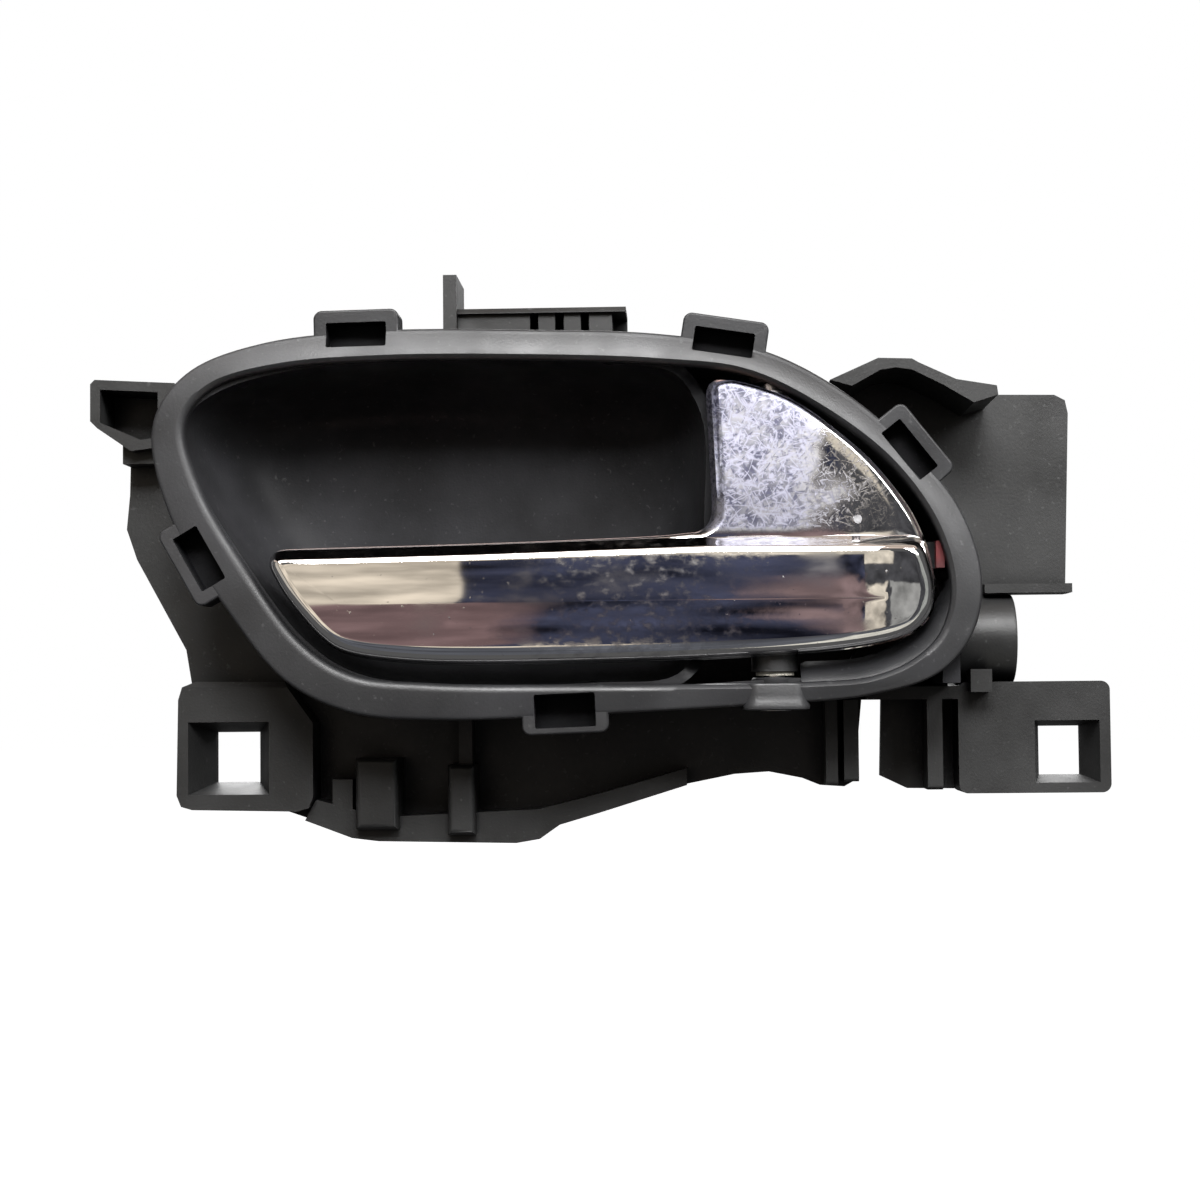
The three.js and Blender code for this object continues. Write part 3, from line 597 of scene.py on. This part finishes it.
MATERIALS = {
    "bezel_plastic": plastic(
        "bezel_plastic", (0.016, 0.016, 0.017), (0.026, 0.026, 0.028), 0.42, 0.44,
        deep=BEZEL_FRONT + 1.2,
    ),
    "carrier_plastic": plastic(
        "carrier_plastic", (0.013, 0.013, 0.013), (0.022, 0.022, 0.022), 0.45, 0.34,
    ),
    "lever_plastic": plastic("lever_plastic", (0.012, 0.012, 0.013), (0.02, 0.02, 0.02), 0.5),
    "chrome": chrome("chrome"),
    "steel": plated_steel("steel", (0.62, 0.62, 0.64), 0.32),
    "nylon": soft_material("nylon", (0.62, 0.59, 0.52), (0.52, 0.48, 0.4), 0.45, 200),
    "red_rubber": soft_material(
        "red_rubber", (0.12, 0.006, 0.008), (0.05, 0.004, 0.005), 0.6, 300,
    ),
    "black_rubber": soft_material(
        "black_rubber", (0.01, 0.01, 0.01), (0.02, 0.02, 0.02), 0.75, 300,
    ),
}


def dress(piece, slot_name, body=None, replaces=()):
    """Gives a piece its material, and a new piece its body, and hides the CAD nodes it stands for."""
    piece.data.materials.clear()
    piece.data.materials.append(MATERIALS[slot_name])
    if body:
        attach(piece, body)
        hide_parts(*replaces)
    return piece


# ---------------------------------------------------------------- bezel and finger tub

LOOP = 288
RING_ROUND = 0.7
# the chamfer inside the ring: distance outside the opening, and depth below the face
RING_CHAMFER = [(0.9, 0), (0.25, 0.45), (0, 1.1)]
# how far the ring's face falls back: everywhere, and more in one direction
LEAST_FALL, MORE_FALL = 0.45, 1.15
FALL_TOWARDS = np.array([0.5, 0.87])


def outward(loop):
    """Unit vectors pointing out of an anticlockwise loop."""
    return inset(loop, -1) - loop


def fall_towards(directions):
    """How far the ring's face falls back at its outer edge: most along the top."""
    return LEAST_FALL + MORE_FALL * np.clip(directions @ FALL_TOWARDS, 0, 1)


def bezel_ring():
    """The ring: rounded outer edge, a face that falls away outwards, chamfered inner edge."""
    outer = smooth_loop(BEZEL_EDGE, LOOP)
    opening = smooth_loop(BEZEL_OPENING, LOOP)
    fall = fall_towards(outward(outer))
    edge = BEZEL_FRONT + fall
    face_outer = inset(outer, RING_ROUND)
    face_inner = inset(opening, -RING_CHAMFER[0][0])
    rings = [in_ring(outer, BEZEL_BACK), in_ring(outer, edge + RING_ROUND)]
    for angle in np.linspace(0.25, 1, 4) * math.pi / 2:
        moved = inset(outer, RING_ROUND * (1 - math.cos(angle)))
        rings.append(in_ring(moved, edge + RING_ROUND * (1 - math.sin(angle))))
    for share in np.linspace(0.1, 1, 7):
        crown = BEZEL_FRONT + fall * (1 - share) ** 1.3
        rings.append(in_ring(mix(face_outer, face_inner, share), crown))
    for outside, drop in RING_CHAMFER[1:]:
        rings.append(in_ring(inset(opening, -outside), BEZEL_FRONT + drop))
    rings.append(in_ring(opening, BEZEL_BACK))
    return solid_of(rings, closed=True)


def clip_hook(slot):
    """Solid block of one clip hook, which stands out from the ring's edge."""
    half = SLOT_LENGTH / 2 + HOOK_WALL
    inside = -slot["width"] / 2 - 0.9
    loop = rounded_rectangle(half, inside, slot["width"] / 2 + slot["wall"], 1.5)
    loop = place_loop(loop, slot["x"], slot["z"], slot["turn"])
    turn = math.radians(slot["turn"])
    towards = np.array([[-math.sin(turn), math.cos(turn)]])
    front = BEZEL_FRONT + 0.1 + fall_towards(towards)[0]
    return solid_of(prism_rings(loop, front, HOOK_BACK, 0.4))


def clip_opening(slot):
    """The blind slot in a clip hook."""
    half = SLOT_LENGTH / 2
    loop = rounded_rectangle(half, -slot["width"] / 2, slot["width"] / 2, 0.3, 3)
    loop = place_loop(loop, slot["x"], slot["z"], slot["turn"])
    return solid_of(prism_rings(loop, BEZEL_FRONT - 1, HOOK_BACK - HOOK_FLOOR))


def near_slots(point):
    """True close round a clip slot, where its rim is rounded."""
    for slot in CLIP_SLOTS:
        if math.hypot(point.x - slot["x"], point.z - slot["z"]) < SLOT_LENGTH / 2 + 0.8:
            return point.y < BEZEL_FRONT + 3
    return False


def tub_depth(share, floor):
    """Depth of the bowl where its loop has shrunk to a share of the mouth."""
    return BEZEL_BACK + (floor - BEZEL_BACK) * (1 - share ** 7) ** 0.5


def finger_tub(bm):
    """A bowl with steep sides that curve softly into its floor."""
    mouth = smooth_loop(TUB_MOUTH, 224)
    outside = inset(mouth, -WALL)
    centre = np.array(TUB_CENTRE)
    shares = 1 - (1 - np.cos(np.linspace(0, 0.49 * math.pi, 30))) ** 1.1
    shares = np.append(shares[shares > 0.12], 0.08)
    partition = ramp(mouth[:, 0], 3, 7)
    partition *= ramp(mouth[:, 1], 15, 19) * ramp(mouth[:, 1], 67, 63)
    lip = BEZEL_BACK - 0.6 + PARTITION_SET_BACK * partition
    rings = []
    for share in shares[::-1]:
        loop = centre + (outside - centre) * share
        rings.append(in_ring(loop, np.maximum(tub_depth(share, TUB_FLOOR + WALL), lip)))
    rings.append(in_ring(outside, lip))
    rings.append(in_ring(mouth, lip))
    for share in shares:
        loop = centre + (mouth - centre) * share
        rings.append(in_ring(loop, np.maximum(tub_depth(share, TUB_FLOOR), lip)))
    add_rings(bm, rings)


# bosses on the pin's line, from the bottom up: half width or radius, and height
LOWER_BOSS = [
    (4.9, 7.8), (5.7, 8), (5.8, 8.6), (5.5, 9.3), (5.35, 10.4), (5.3, 12), (5.1, 12.3),
]
COLLAR = [(4, 12.2), (4.1, 13.1), (3.8, 13.4)]
UPPER_BOSS = [(3.4, 63.9), (3.8, 64.4), (3.8, 66.6), (3.4, 67)]
POST_RADIUS = 2.7
POST_END_RADIUS = 2.3
UPPER_SCREWS_FROM = 30
SHROUD_X = [50.4, 53.4]
SHROUD_Z = [12.2, 20]
SILL_WIDTH = 3.5
SILL_FROM_X = 26
SILL_BELOW_Z = 30
BAY_WALL_INSETS = (2.5, 4.2)


def level_ring(loop, height):
    """A flat loop of X and Y placed at a height."""
    return np.stack([loop[:, 0], loop[:, 1], np.full(len(loop), float(height))], 1)


def circle(count):
    """Points of a circle of radius 1."""
    angles = np.linspace(0, 2 * math.pi, count, endpoint=False)
    return np.stack([np.cos(angles), np.sin(angles)], 1)


def pivot_bosses(bm):
    """Bosses below and above the lever that hold its pin: one oblong and two round."""
    line = np.array([PIVOT_X, PIVOT_Y])
    add_rings(bm, [
        level_ring(rounded_rectangle(half, -half, half, 0.45 * half, 6) + line, height)
        for half, height in LOWER_BOSS
    ])
    for profile in (COLLAR, UPPER_BOSS):
        add_rings(bm, [level_ring(circle(40) * radius + line, z) for radius, z in profile])


def screw_bosses(bm):
    """Posts behind the ring that take the carrier's screws; the lower ones end sooner."""
    for number in range(1, 6):
        x, z = (sum(span(f"carrier_screw_{number}", axis)) / 2 for axis in (0, 2))
        top = BEZEL_BACK + 0.1 if z > UPPER_SCREWS_FROM else HOOK_BACK + 0.5
        post = [
            (POST_END_RADIUS, PAD_FRONT - 0.3), (POST_RADIUS, PAD_FRONT - 0.7),
            (POST_RADIUS, top),
        ]
        place = np.array([x, z])
        add_rings(bm, [in_ring(circle(28) * radius + place, y) for radius, y in post])


def guide_shroud(bm):
    """The wall that closes the housing beside the cable guide."""
    depth = [BEZEL_FRONT + 4, HOUSING_BACK - 0.2]
    add_rings(bm, box_rings(SHROUD_X, depth, SHROUD_Z))


def bay_slope(bm):
    """The sloping sill between the ring's lower right part and the lever."""
    opening = smooth_loop(BEZEL_OPENING, LOOP)
    chosen = [
        i for i in range(LOOP)
        if opening[i][0] > SILL_FROM_X and opening[i][1] < SILL_BELOW_Z
    ]
    middle = (len(chosen) - 1) / 2
    sections = []
    for k, i in enumerate(chosen):
        taper = 2.6 * (1 - abs(k - 0.8 * middle) / (1.2 * middle))
        width = SILL_WIDTH * min(1, taper)
        edge = opening[i]
        inner = inset(opening, max(0.2, width))[i]
        half = mix(edge, inner, 0.55)
        sections.append(np.array([
            [edge[0], BEZEL_FRONT + 0.9, edge[1]], [half[0], BEZEL_FRONT + 2.2, half[1]],
            [inner[0], BEZEL_FRONT + 5, inner[1]], [inner[0], BEZEL_FRONT + 9, inner[1]],
            [edge[0], BEZEL_FRONT + 9, edge[1]],
        ]))
    add_rings(bm, sections)


def bay_wall(bm):
    """The housing wall behind the ring, round the lever's bay right of the tub."""
    edge = smooth_loop(BEZEL_EDGE, LOOP)
    outer, inner = (inset(edge, distance) for distance in BAY_WALL_INSETS)
    chosen = [i for i in range(LOOP) if outer[i][0] > 4]
    start = next(i for i in chosen if (i - 1) % LOOP not in chosen)
    front, back = BEZEL_FRONT + 1.5, HOUSING_BACK
    sections = []
    for k in range(len(chosen)):
        (xo, zo), (xi, zi) = (side[(start + k) % LOOP] for side in (outer, inner))
        sections.append(np.array([
            [xo, front, zo], [xo, back, zo], [xi, back, zi], [xi, front, zi],
        ]))
    add_rings(bm, sections)


def bezel_and_tub():
    """The whole bezel moulding as one piece."""
    ring = combine(bezel_ring(), [clip_hook(slot) for slot in CLIP_SLOTS], "UNION")
    ring = combine(ring, [clip_opening(slot) for slot in CLIP_SLOTS], "DIFFERENCE")
    bm = take_mesh(ring)
    rims = [
        e for e in sharp_edges(bm, 45) if near_slots((e.verts[0].co + e.verts[1].co) / 2)
    ]
    round_off(bm, rims, 0.2, 2)
    finger_tub(bm)
    pivot_bosses(bm)
    bay_wall(bm)
    bay_slope(bm)
    guide_shroud(bm)
    screw_bosses(bm)
    piece = even_normals(keep_mesh("bezel_ring_and_tub", bm, sharp=40))
    return dress(piece, "bezel_plastic", "housing", ["bezel_tub"])


# ---------------------------------------------------------------- lever


def bezier(a, b, c, d):
    """Points of a cubic Bezier curve."""
    t = np.linspace(0, 1, 12)[:, None]
    a, b, c, d = (np.array(p, float) for p in (a, b, c, d))
    return (1 - t) ** 3 * a + 3 * (1 - t) ** 2 * t * b + 3 * (1 - t) * t ** 2 * c + t ** 3 * d


def through(points):
    """An open uniform Catmull-Rom curve through the points."""
    points = np.array(points, float)
    padded = np.vstack([points[:1], points, points[-1:]])
    curve = []
    for i in range(len(points) - 1):
        p0, p1, p2, p3 = padded[i:i + 4]
        for t in np.linspace(0, 1, 8, endpoint=False):
            curve.append(
                0.5 * (2 * p1 + (p2 - p0) * t + (2 * p0 - 5 * p1 + 4 * p2 - p3) * t ** 2
                       + (3 * p1 - p0 - 3 * p2 + p3) * t ** 3)
            )
    return np.array(curve + [points[-1]])


def lever_foot():
    """Lower edge of the lever, from its left end round to its right end."""
    return np.vstack([
        bezier([-61.4, 36.1], [-64.4, 36], [-65.2, 34.2], [-64, 32]),
        through([[-64, 32], [-61.2, 27.4], [-55.8, 21], [-51, 18], [-41.9, 16.5],
                 [-28.3, 15.9], [-1.1, 16.2], [19.2, 16.9], [33, 17.9], [43, 19.7],
                 [47.6, 22.8], [49.1, 27.8], [48, 34.6]]),
    ])


def lever_outline():
    """The whole lever: a finger bar, and a quarter-round plate above its right half."""
    return np.vstack([
        lever_foot(),
        through([[48, 34.6], [45.1, 41.4], [39.3, 49.2], [32.6, 55.4], [25.6, 60.4],
                 [19.6, 62.9], [14.6, 64.2]]),
        bezier([14.6, 64.2], [12, 64.8], [10.6, 64], [10.6, 61.6]),
        [[11.4, 44]],
        bezier([11.4, 44], [11.6, 39.5], [10.2, 38.1], [6.5, 38]),
        through([[6.5, 38], [-0.9, 37.5], [-28.1, 36.7], [-52.1, 36.3], [-61.4, 36.1]]),
    ])


def bar_outline():
    """The proud finger bar: the lever's foot closed by a straight upper edge."""
    return np.vstack([
        lever_foot(),
        bezier([48, 34.6], [47.6, 36.4], [46.8, 37.4], [44.6, 37.4]),
        [[10, 37.6], [-0.9, 37.3], [-28.1, 36.6], [-52.1, 36.2]],
    ])


# the bar's edge: distance in from its outline, and depth below its face at the foot and top
BAR_EDGE = [
    (0.12, 2.6, 1.98), (0.3, 1.87, 1.8), (0.45, 1.5, 1.65), (1.0, 0.65, 1.12),
    (1.55, 0.2, 0.6), (1.9, 0.05, 0.25),
]
BAR_MIDDLE = 26.5
BAR_SPINE = [-52, 40]


def bar_face(loop):
    """Depth of the bar's face: crowned from top to bottom and falling away at its right end."""
    across = (loop[:, 1] - BAR_MIDDLE) / 10
    end = ramp(loop[:, 0], 33, 47)
    return BAR_FRONT + 0.75 * across ** 2 + 1.5 * end ** 2


def finger_bar(bm):
    """The bar that the fingers pull, with a broader bevel along its top."""
    outline = resample(bar_outline(), 260)
    slope = ramp(outline[:, 1], 34, 36)
    rings = [in_ring(inset(outline, 0.1), LEVER_FRONT + 1.6)]
    for across, drop, top_drop in BAR_EDGE:
        loop = inset(outline, across)
        rings.append(in_ring(loop, bar_face(loop) + mix(drop, top_drop, slope)))
    last = inset(outline, 2.1)
    spine = np.stack([np.clip(last[:, 0], *BAR_SPINE), np.full(len(last), BAR_MIDDLE)], 1)
    for share in (0, 0.12, 0.3, 0.5, 0.7, 0.88, 0.985):
        loop = mix(last, spine, share)
        rings.append(in_ring(loop, bar_face(loop)))
    add_rings(bm, rings)


def plate_face(loop):
    """Depth of the wide plate's face, which falls away a little to the right."""
    away = ramp(loop[:, 0], 24, 48)
    rise = ramp(loop[:, 1], 38, 60)
    return LEVER_FRONT + 2 * away ** 2 + 1.1 * rise


LEVER_LOOP = 420
# the plate's left edge, whose chamfer is broader by BROADER
PLATE_LEFT_X = (9.5, 13)
PLATE_ABOVE_Z = 39
BROADER = 1.4
# the plate's edge: distance in from its outline, and depth below its face
PLATE_EDGE = ((0.15, 0.5), (0.45, 0.18), (0.8, 0.03), (1.0, 0.0))


def beside_tub(outline):
    """1 along the plate's left edge and 0 elsewhere, with soft ends."""
    x, z = outline.T
    left = (x > PLATE_LEFT_X[0]) & (x < PLATE_LEFT_X[1]) & (z > PLATE_ABOVE_Z)
    soft = np.convolve(np.tile(left.astype(float), 3), np.ones(7) / 7, "same")
    return soft[LEVER_LOOP:2 * LEVER_LOOP]


def lever_body(bm):
    """The shell's side wall and its wide plate, with a broad chamfer along the plate's left."""
    outline = resample(lever_outline(), LEVER_LOOP)
    broad = beside_tub(outline)
    rings = [in_ring(inset(outline, 1.6), LEVER_BACK), in_ring(inset(outline, 0.3), LEVER_BACK)]
    rings.append(in_ring(outline, LEVER_BACK - 0.3))
    rings.append(in_ring(outline, LEVER_FRONT + 2.4))
    rings.append(in_ring(inset(outline, 0.9 * broad), LEVER_FRONT + 0.9))
    for across, drop in PLATE_EDGE:
        loop = inset(outline, across + BROADER * broad)
        rings.append(in_ring(loop, plate_face(loop) + drop))
    last = inset(outline, 1.1 + BROADER * broad)
    middle = np.stack([np.clip(last[:, 0], -50, 26), np.clip(last[:, 1], 27, 44)], 1)
    for share in (0.15, 0.4, 0.7, 0.95):
        loop = mix(last, middle, share)
        rings.append(in_ring(loop, plate_face(loop)))
    add_rings(bm, rings)


def lever_shell():
    """The chromed cover as one piece."""
    bm = bmesh.new()
    lever_body(bm)
    finger_bar(bm)
    piece = keep_mesh("lever_shell_plated", bm, sharp=50)
    return dress(piece, "chrome", "lever", ["lever_shell"])


# ---------------------------------------------------------------- everything on the frame

# boxes round the front edges that are broadly chamfered or rounded: corners, size, steps
CARRIER_CHAMFERS = [
    ((57, TAB_FRONT - 0.1, 12), (81, TAB_FRONT + 0.1, 12.6), 1.9, 1),
    ((-83, TAB_FRONT - 0.1, 13), (-65, TAB_FRONT + 0.1, 14), 1.9, 1),
    ((-36, -13.1, 79.8), (-3, -12.9, 80.4), 0.8, 1),
    ((-52.6, -12.1, -13), (-44.8, -11.9, 0), 1.1, 4),
    ((-36.1, -12.1, -14), (-31, -11.9, -1), 1.1, 4),
    ((49.1, -11.1, -7), (52, -10.9, 9), 0.8, 3),
    ((31, -12.1, -6), (37.1, -11.9, 9), 0.6, 3),
]

bezel_and_tub()
carrier = moulded_copy("carrier_frame", 0.3, broad=CARRIER_CHAMFERS)
dress(carrier, "carrier_plastic", "housing", ["carrier_frame"])
dress(moulded_copy("cable_guide", 0.5), "carrier_plastic", "housing", ["cable_guide"])
lever_shell()
dress(moulded_copy("lever_core", 0.2), "lever_plastic", "lever", ["lever_core"])

for part in frame["record"]["subparts"]:
    node = frame["nodes"][part["node"]]
    if not node.hide_render:
        dress(node, part["material_slot"])

# ---------------------------------------------------------------- camera, light and floor


EYE = Vector((6.8, -410, 9.8)) * MM
AIM = Vector((-7.82, -30, 26.8)) * MM
CAMERA_TURN = math.radians(-0.55)


def place_camera():
    """The camera looks along +Y from the level of the fixing holes, turned by half a degree."""
    camera = bpy.data.cameras.new("camera")
    camera.lens = 67.18
    camera.sensor_width = 36
    camera.clip_start = 0.01
    holder = bpy.data.objects.new("camera", camera)
    level = (AIM - EYE).to_track_quat("-Z", "Y").to_matrix().to_4x4()
    turn = Matrix.Rotation(CAMERA_TURN, 4, "Z")
    holder.matrix_world = Matrix.Translation(EYE) @ level @ turn
    bpy.context.scene.collection.objects.link(holder)
    bpy.context.scene.camera = holder


def soft_light(name, place, aim, size, power):
    """A white rectangular lamp that faces a point."""
    lamp = bpy.data.lights.new(name, "AREA")
    lamp.shape = "RECTANGLE"
    lamp.size, lamp.size_y = size
    lamp.energy = power
    holder = bpy.data.objects.new(name, lamp)
    holder.location = place
    holder.rotation_euler = (Vector(aim) - Vector(place)).to_track_quat("-Z", "Y").to_euler()
    bpy.context.scene.collection.objects.link(holder)


def pale_floor():
    """A floor nearly as white as the backdrop, which lights nothing."""
    bm = bmesh.new()
    bmesh.ops.create_grid(bm, x_segments=1, y_segments=1, size=6 / MM)
    floor = keep_mesh("floor", bm)
    floor.location.z = -0.12
    material, nodes, links = new_material("pale_floor")
    shader = nodes["Principled BSDF"]
    shader.inputs["Base Color"].default_value = (0.9, 0.9, 0.9, 1)
    shader.inputs["Roughness"].default_value = 0.9
    shader.inputs["Emission Color"].default_value = (1, 1, 1, 1)
    shader.inputs["Emission Strength"].default_value = 0.93
    floor.data.materials.append(material)
    floor.visible_diffuse = False
    floor.visible_glossy = False


def white_world():
    """A white backdrop, which lights the object only softly."""
    world = bpy.data.worlds.new("studio")
    world.use_nodes = True
    nodes, links = world.node_tree.nodes, world.node_tree.links
    background = nodes["Background"]
    background.inputs["Color"].default_value = (1, 1, 1, 1)
    ray = nodes.new("ShaderNodeLightPath")
    strength = remap(nodes, links, ray.outputs["Is Camera Ray"], 0, 1, 0.1, 1.0)
    links.new(strength, background.inputs["Strength"])
    bpy.context.scene.world = world


CEILING_CORNERS = [(-1500, -900), (1500, -900), (1500, 500), (-1500, 500)]


def hang_card(name, corners, material):
    """Makes a card that is seen only as a reflection in the plating."""
    bm = bmesh.new()
    bm.faces.new([bm.verts.new(corner) for corner in corners])
    card = keep_mesh(name, bm)
    card.data.materials.append(material)
    card.visible_camera = False
    card.visible_diffuse = False
    card.visible_shadow = False


def glowing_material(name, pattern_scale, detail, high, dark, pale):
    """A material that gives off light, in two colours that change slowly."""
    material, nodes, links = new_material(name)
    glow = nodes.new("ShaderNodeEmission")
    tint = remap(nodes, links, noise(nodes, links, pattern_scale, detail), 0.35, high, 0, 1)
    links.new(blend_colours(nodes, links, tint, dark, pale), glow.inputs["Color"])
    links.new(glow.outputs["Emission"], nodes["Material Output"].inputs["Surface"])
    return material, nodes, links, glow


def past_edges(nodes, links, x, z, soft, waver):
    """0 within the ranges in X and Z, and 1 past their soft uneven edges."""
    place = axes(nodes, links)
    reaches = []
    for axis, (low, high) in (("X", x), ("Z", z)):
        half = (high - low) / 2
        off_centre = remap(nodes, links, place[axis], low * MM, high * MM, -half, half)
        reach = math_node(nodes, links, "ABSOLUTE", off_centre)
        reaches.append(remap(nodes, links, reach, half * (1 - soft), half, 0, 1))
    uneven = remap(nodes, links, noise(nodes, links, 9, 3), 0.3, 0.7, -waver, waver)
    shifted = math_node(nodes, links, "ADD", highest(nodes, links, *reaches), uneven)
    return remap(nodes, links, shifted, 0.35, 0.65, 0, 1)


def ceiling_card(name, height, colour):
    """A level card above the handle."""
    darker = tuple(0.5 * c for c in colour)
    material = glowing_material(name, 3, 3, 0.65, darker, colour)[0]
    hang_card(name, [(x, y, height) for x, y in CEILING_CORNERS], material)


def reflected_card(name, x, y, z, colour, soft=0.2, waver=0.5, vary=0.3):
    """An upright card behind the camera, with soft uneven edges."""
    pair = [tuple(share * c for c in colour) for share in (1 - vary, 1 + 2 * vary)]
    material, nodes, links, glow = glowing_material(name, 14, 6, 0.7, *pair)
    clear = nodes.new("ShaderNodeBsdfTransparent")
    blend = nodes.new("ShaderNodeMixShader")
    links.new(past_edges(nodes, links, x, z, soft, waver), blend.inputs["Fac"])
    links.new(glow.outputs["Emission"], blend.inputs[1])
    links.new(clear.outputs["BSDF"], blend.inputs[2])
    links.new(blend.outputs["Shader"], nodes["Material Output"].inputs["Surface"])
    hang_card(name, in_ring(rectangle(x, z), y), material)


place_camera()
white_world()
pale_floor()
soft_light("key", (0.02, -0.66, 0.56), (0, 0, 0.03), (0.45, 0.32), 13)
soft_light("sheen", (-0.1, -0.46, 0.7), (0, 0, 0.04), (0.7, 0.2), 3.2)
soft_light("side_sheen", (0.52, -0.54, 0.46), (0.03, 0, 0.05), (0.3, 0.35), 6)
soft_light("behind", (0.1, 0.9, 0.6), (0, 0, 0.03), (1.2, 0.6), 12)
reflected_card("dark_room", (-1500, 1500), -1100, (-900, 500), (0.06, 0.06, 0.065), 0.02, 0)
reflected_card("beige_wall", (-620, 0), -980, (-300, 640), (0.66, 0.58, 0.47), 0.15, 0.2)
reflected_card("beige_over", (-60, 420), -985, (250, 640), (0.66, 0.6, 0.5), 0.15, 0.2)
reflected_card("blue_coat", (-113, 200), -840, (-150, 285), (0.03, 0.033, 0.055), 0.06, 0.25, 0.8)
reflected_card("brown_left", (-230, -40), -800, (-180, 100), (0.2, 0.13, 0.13), 0.7, 0.5)
reflected_card("beige_right", (150, 345), -900, (-190, 165), (0.6, 0.54, 0.45), 0.4, 0.6)
reflected_card("grey_right", (345, 560), -900, (-190, 165), (0.28, 0.28, 0.27), 0.2, 0.5)
reflected_card("brown_right", (35, 215), -800, (-150, 200), (0.2, 0.14, 0.14), 0.7, 0.5)
reflected_card("grey_floor", (-700, 700), -770, (-1500, -130), (0.1, 0.105, 0.12), 0.1, 0.2)
reflected_card("lit_floor", (130, 1600), -765, (-2400, -230), (0.72, 0.7, 0.62), 0.1, 0.2)
reflected_card("left_wall", (-2600, -640), -760, (-600, 700), (0.5, 0.46, 0.4), 0.05, 0.1)
reflected_card("right_wall", (640, 2600), -760, (-600, 700), (0.34, 0.35, 0.33), 0.05, 0.1)
ceiling_card("ceiling", 900, (0.78, 0.64, 0.54))
bpy.context.scene.view_settings.view_transform = "Standard"
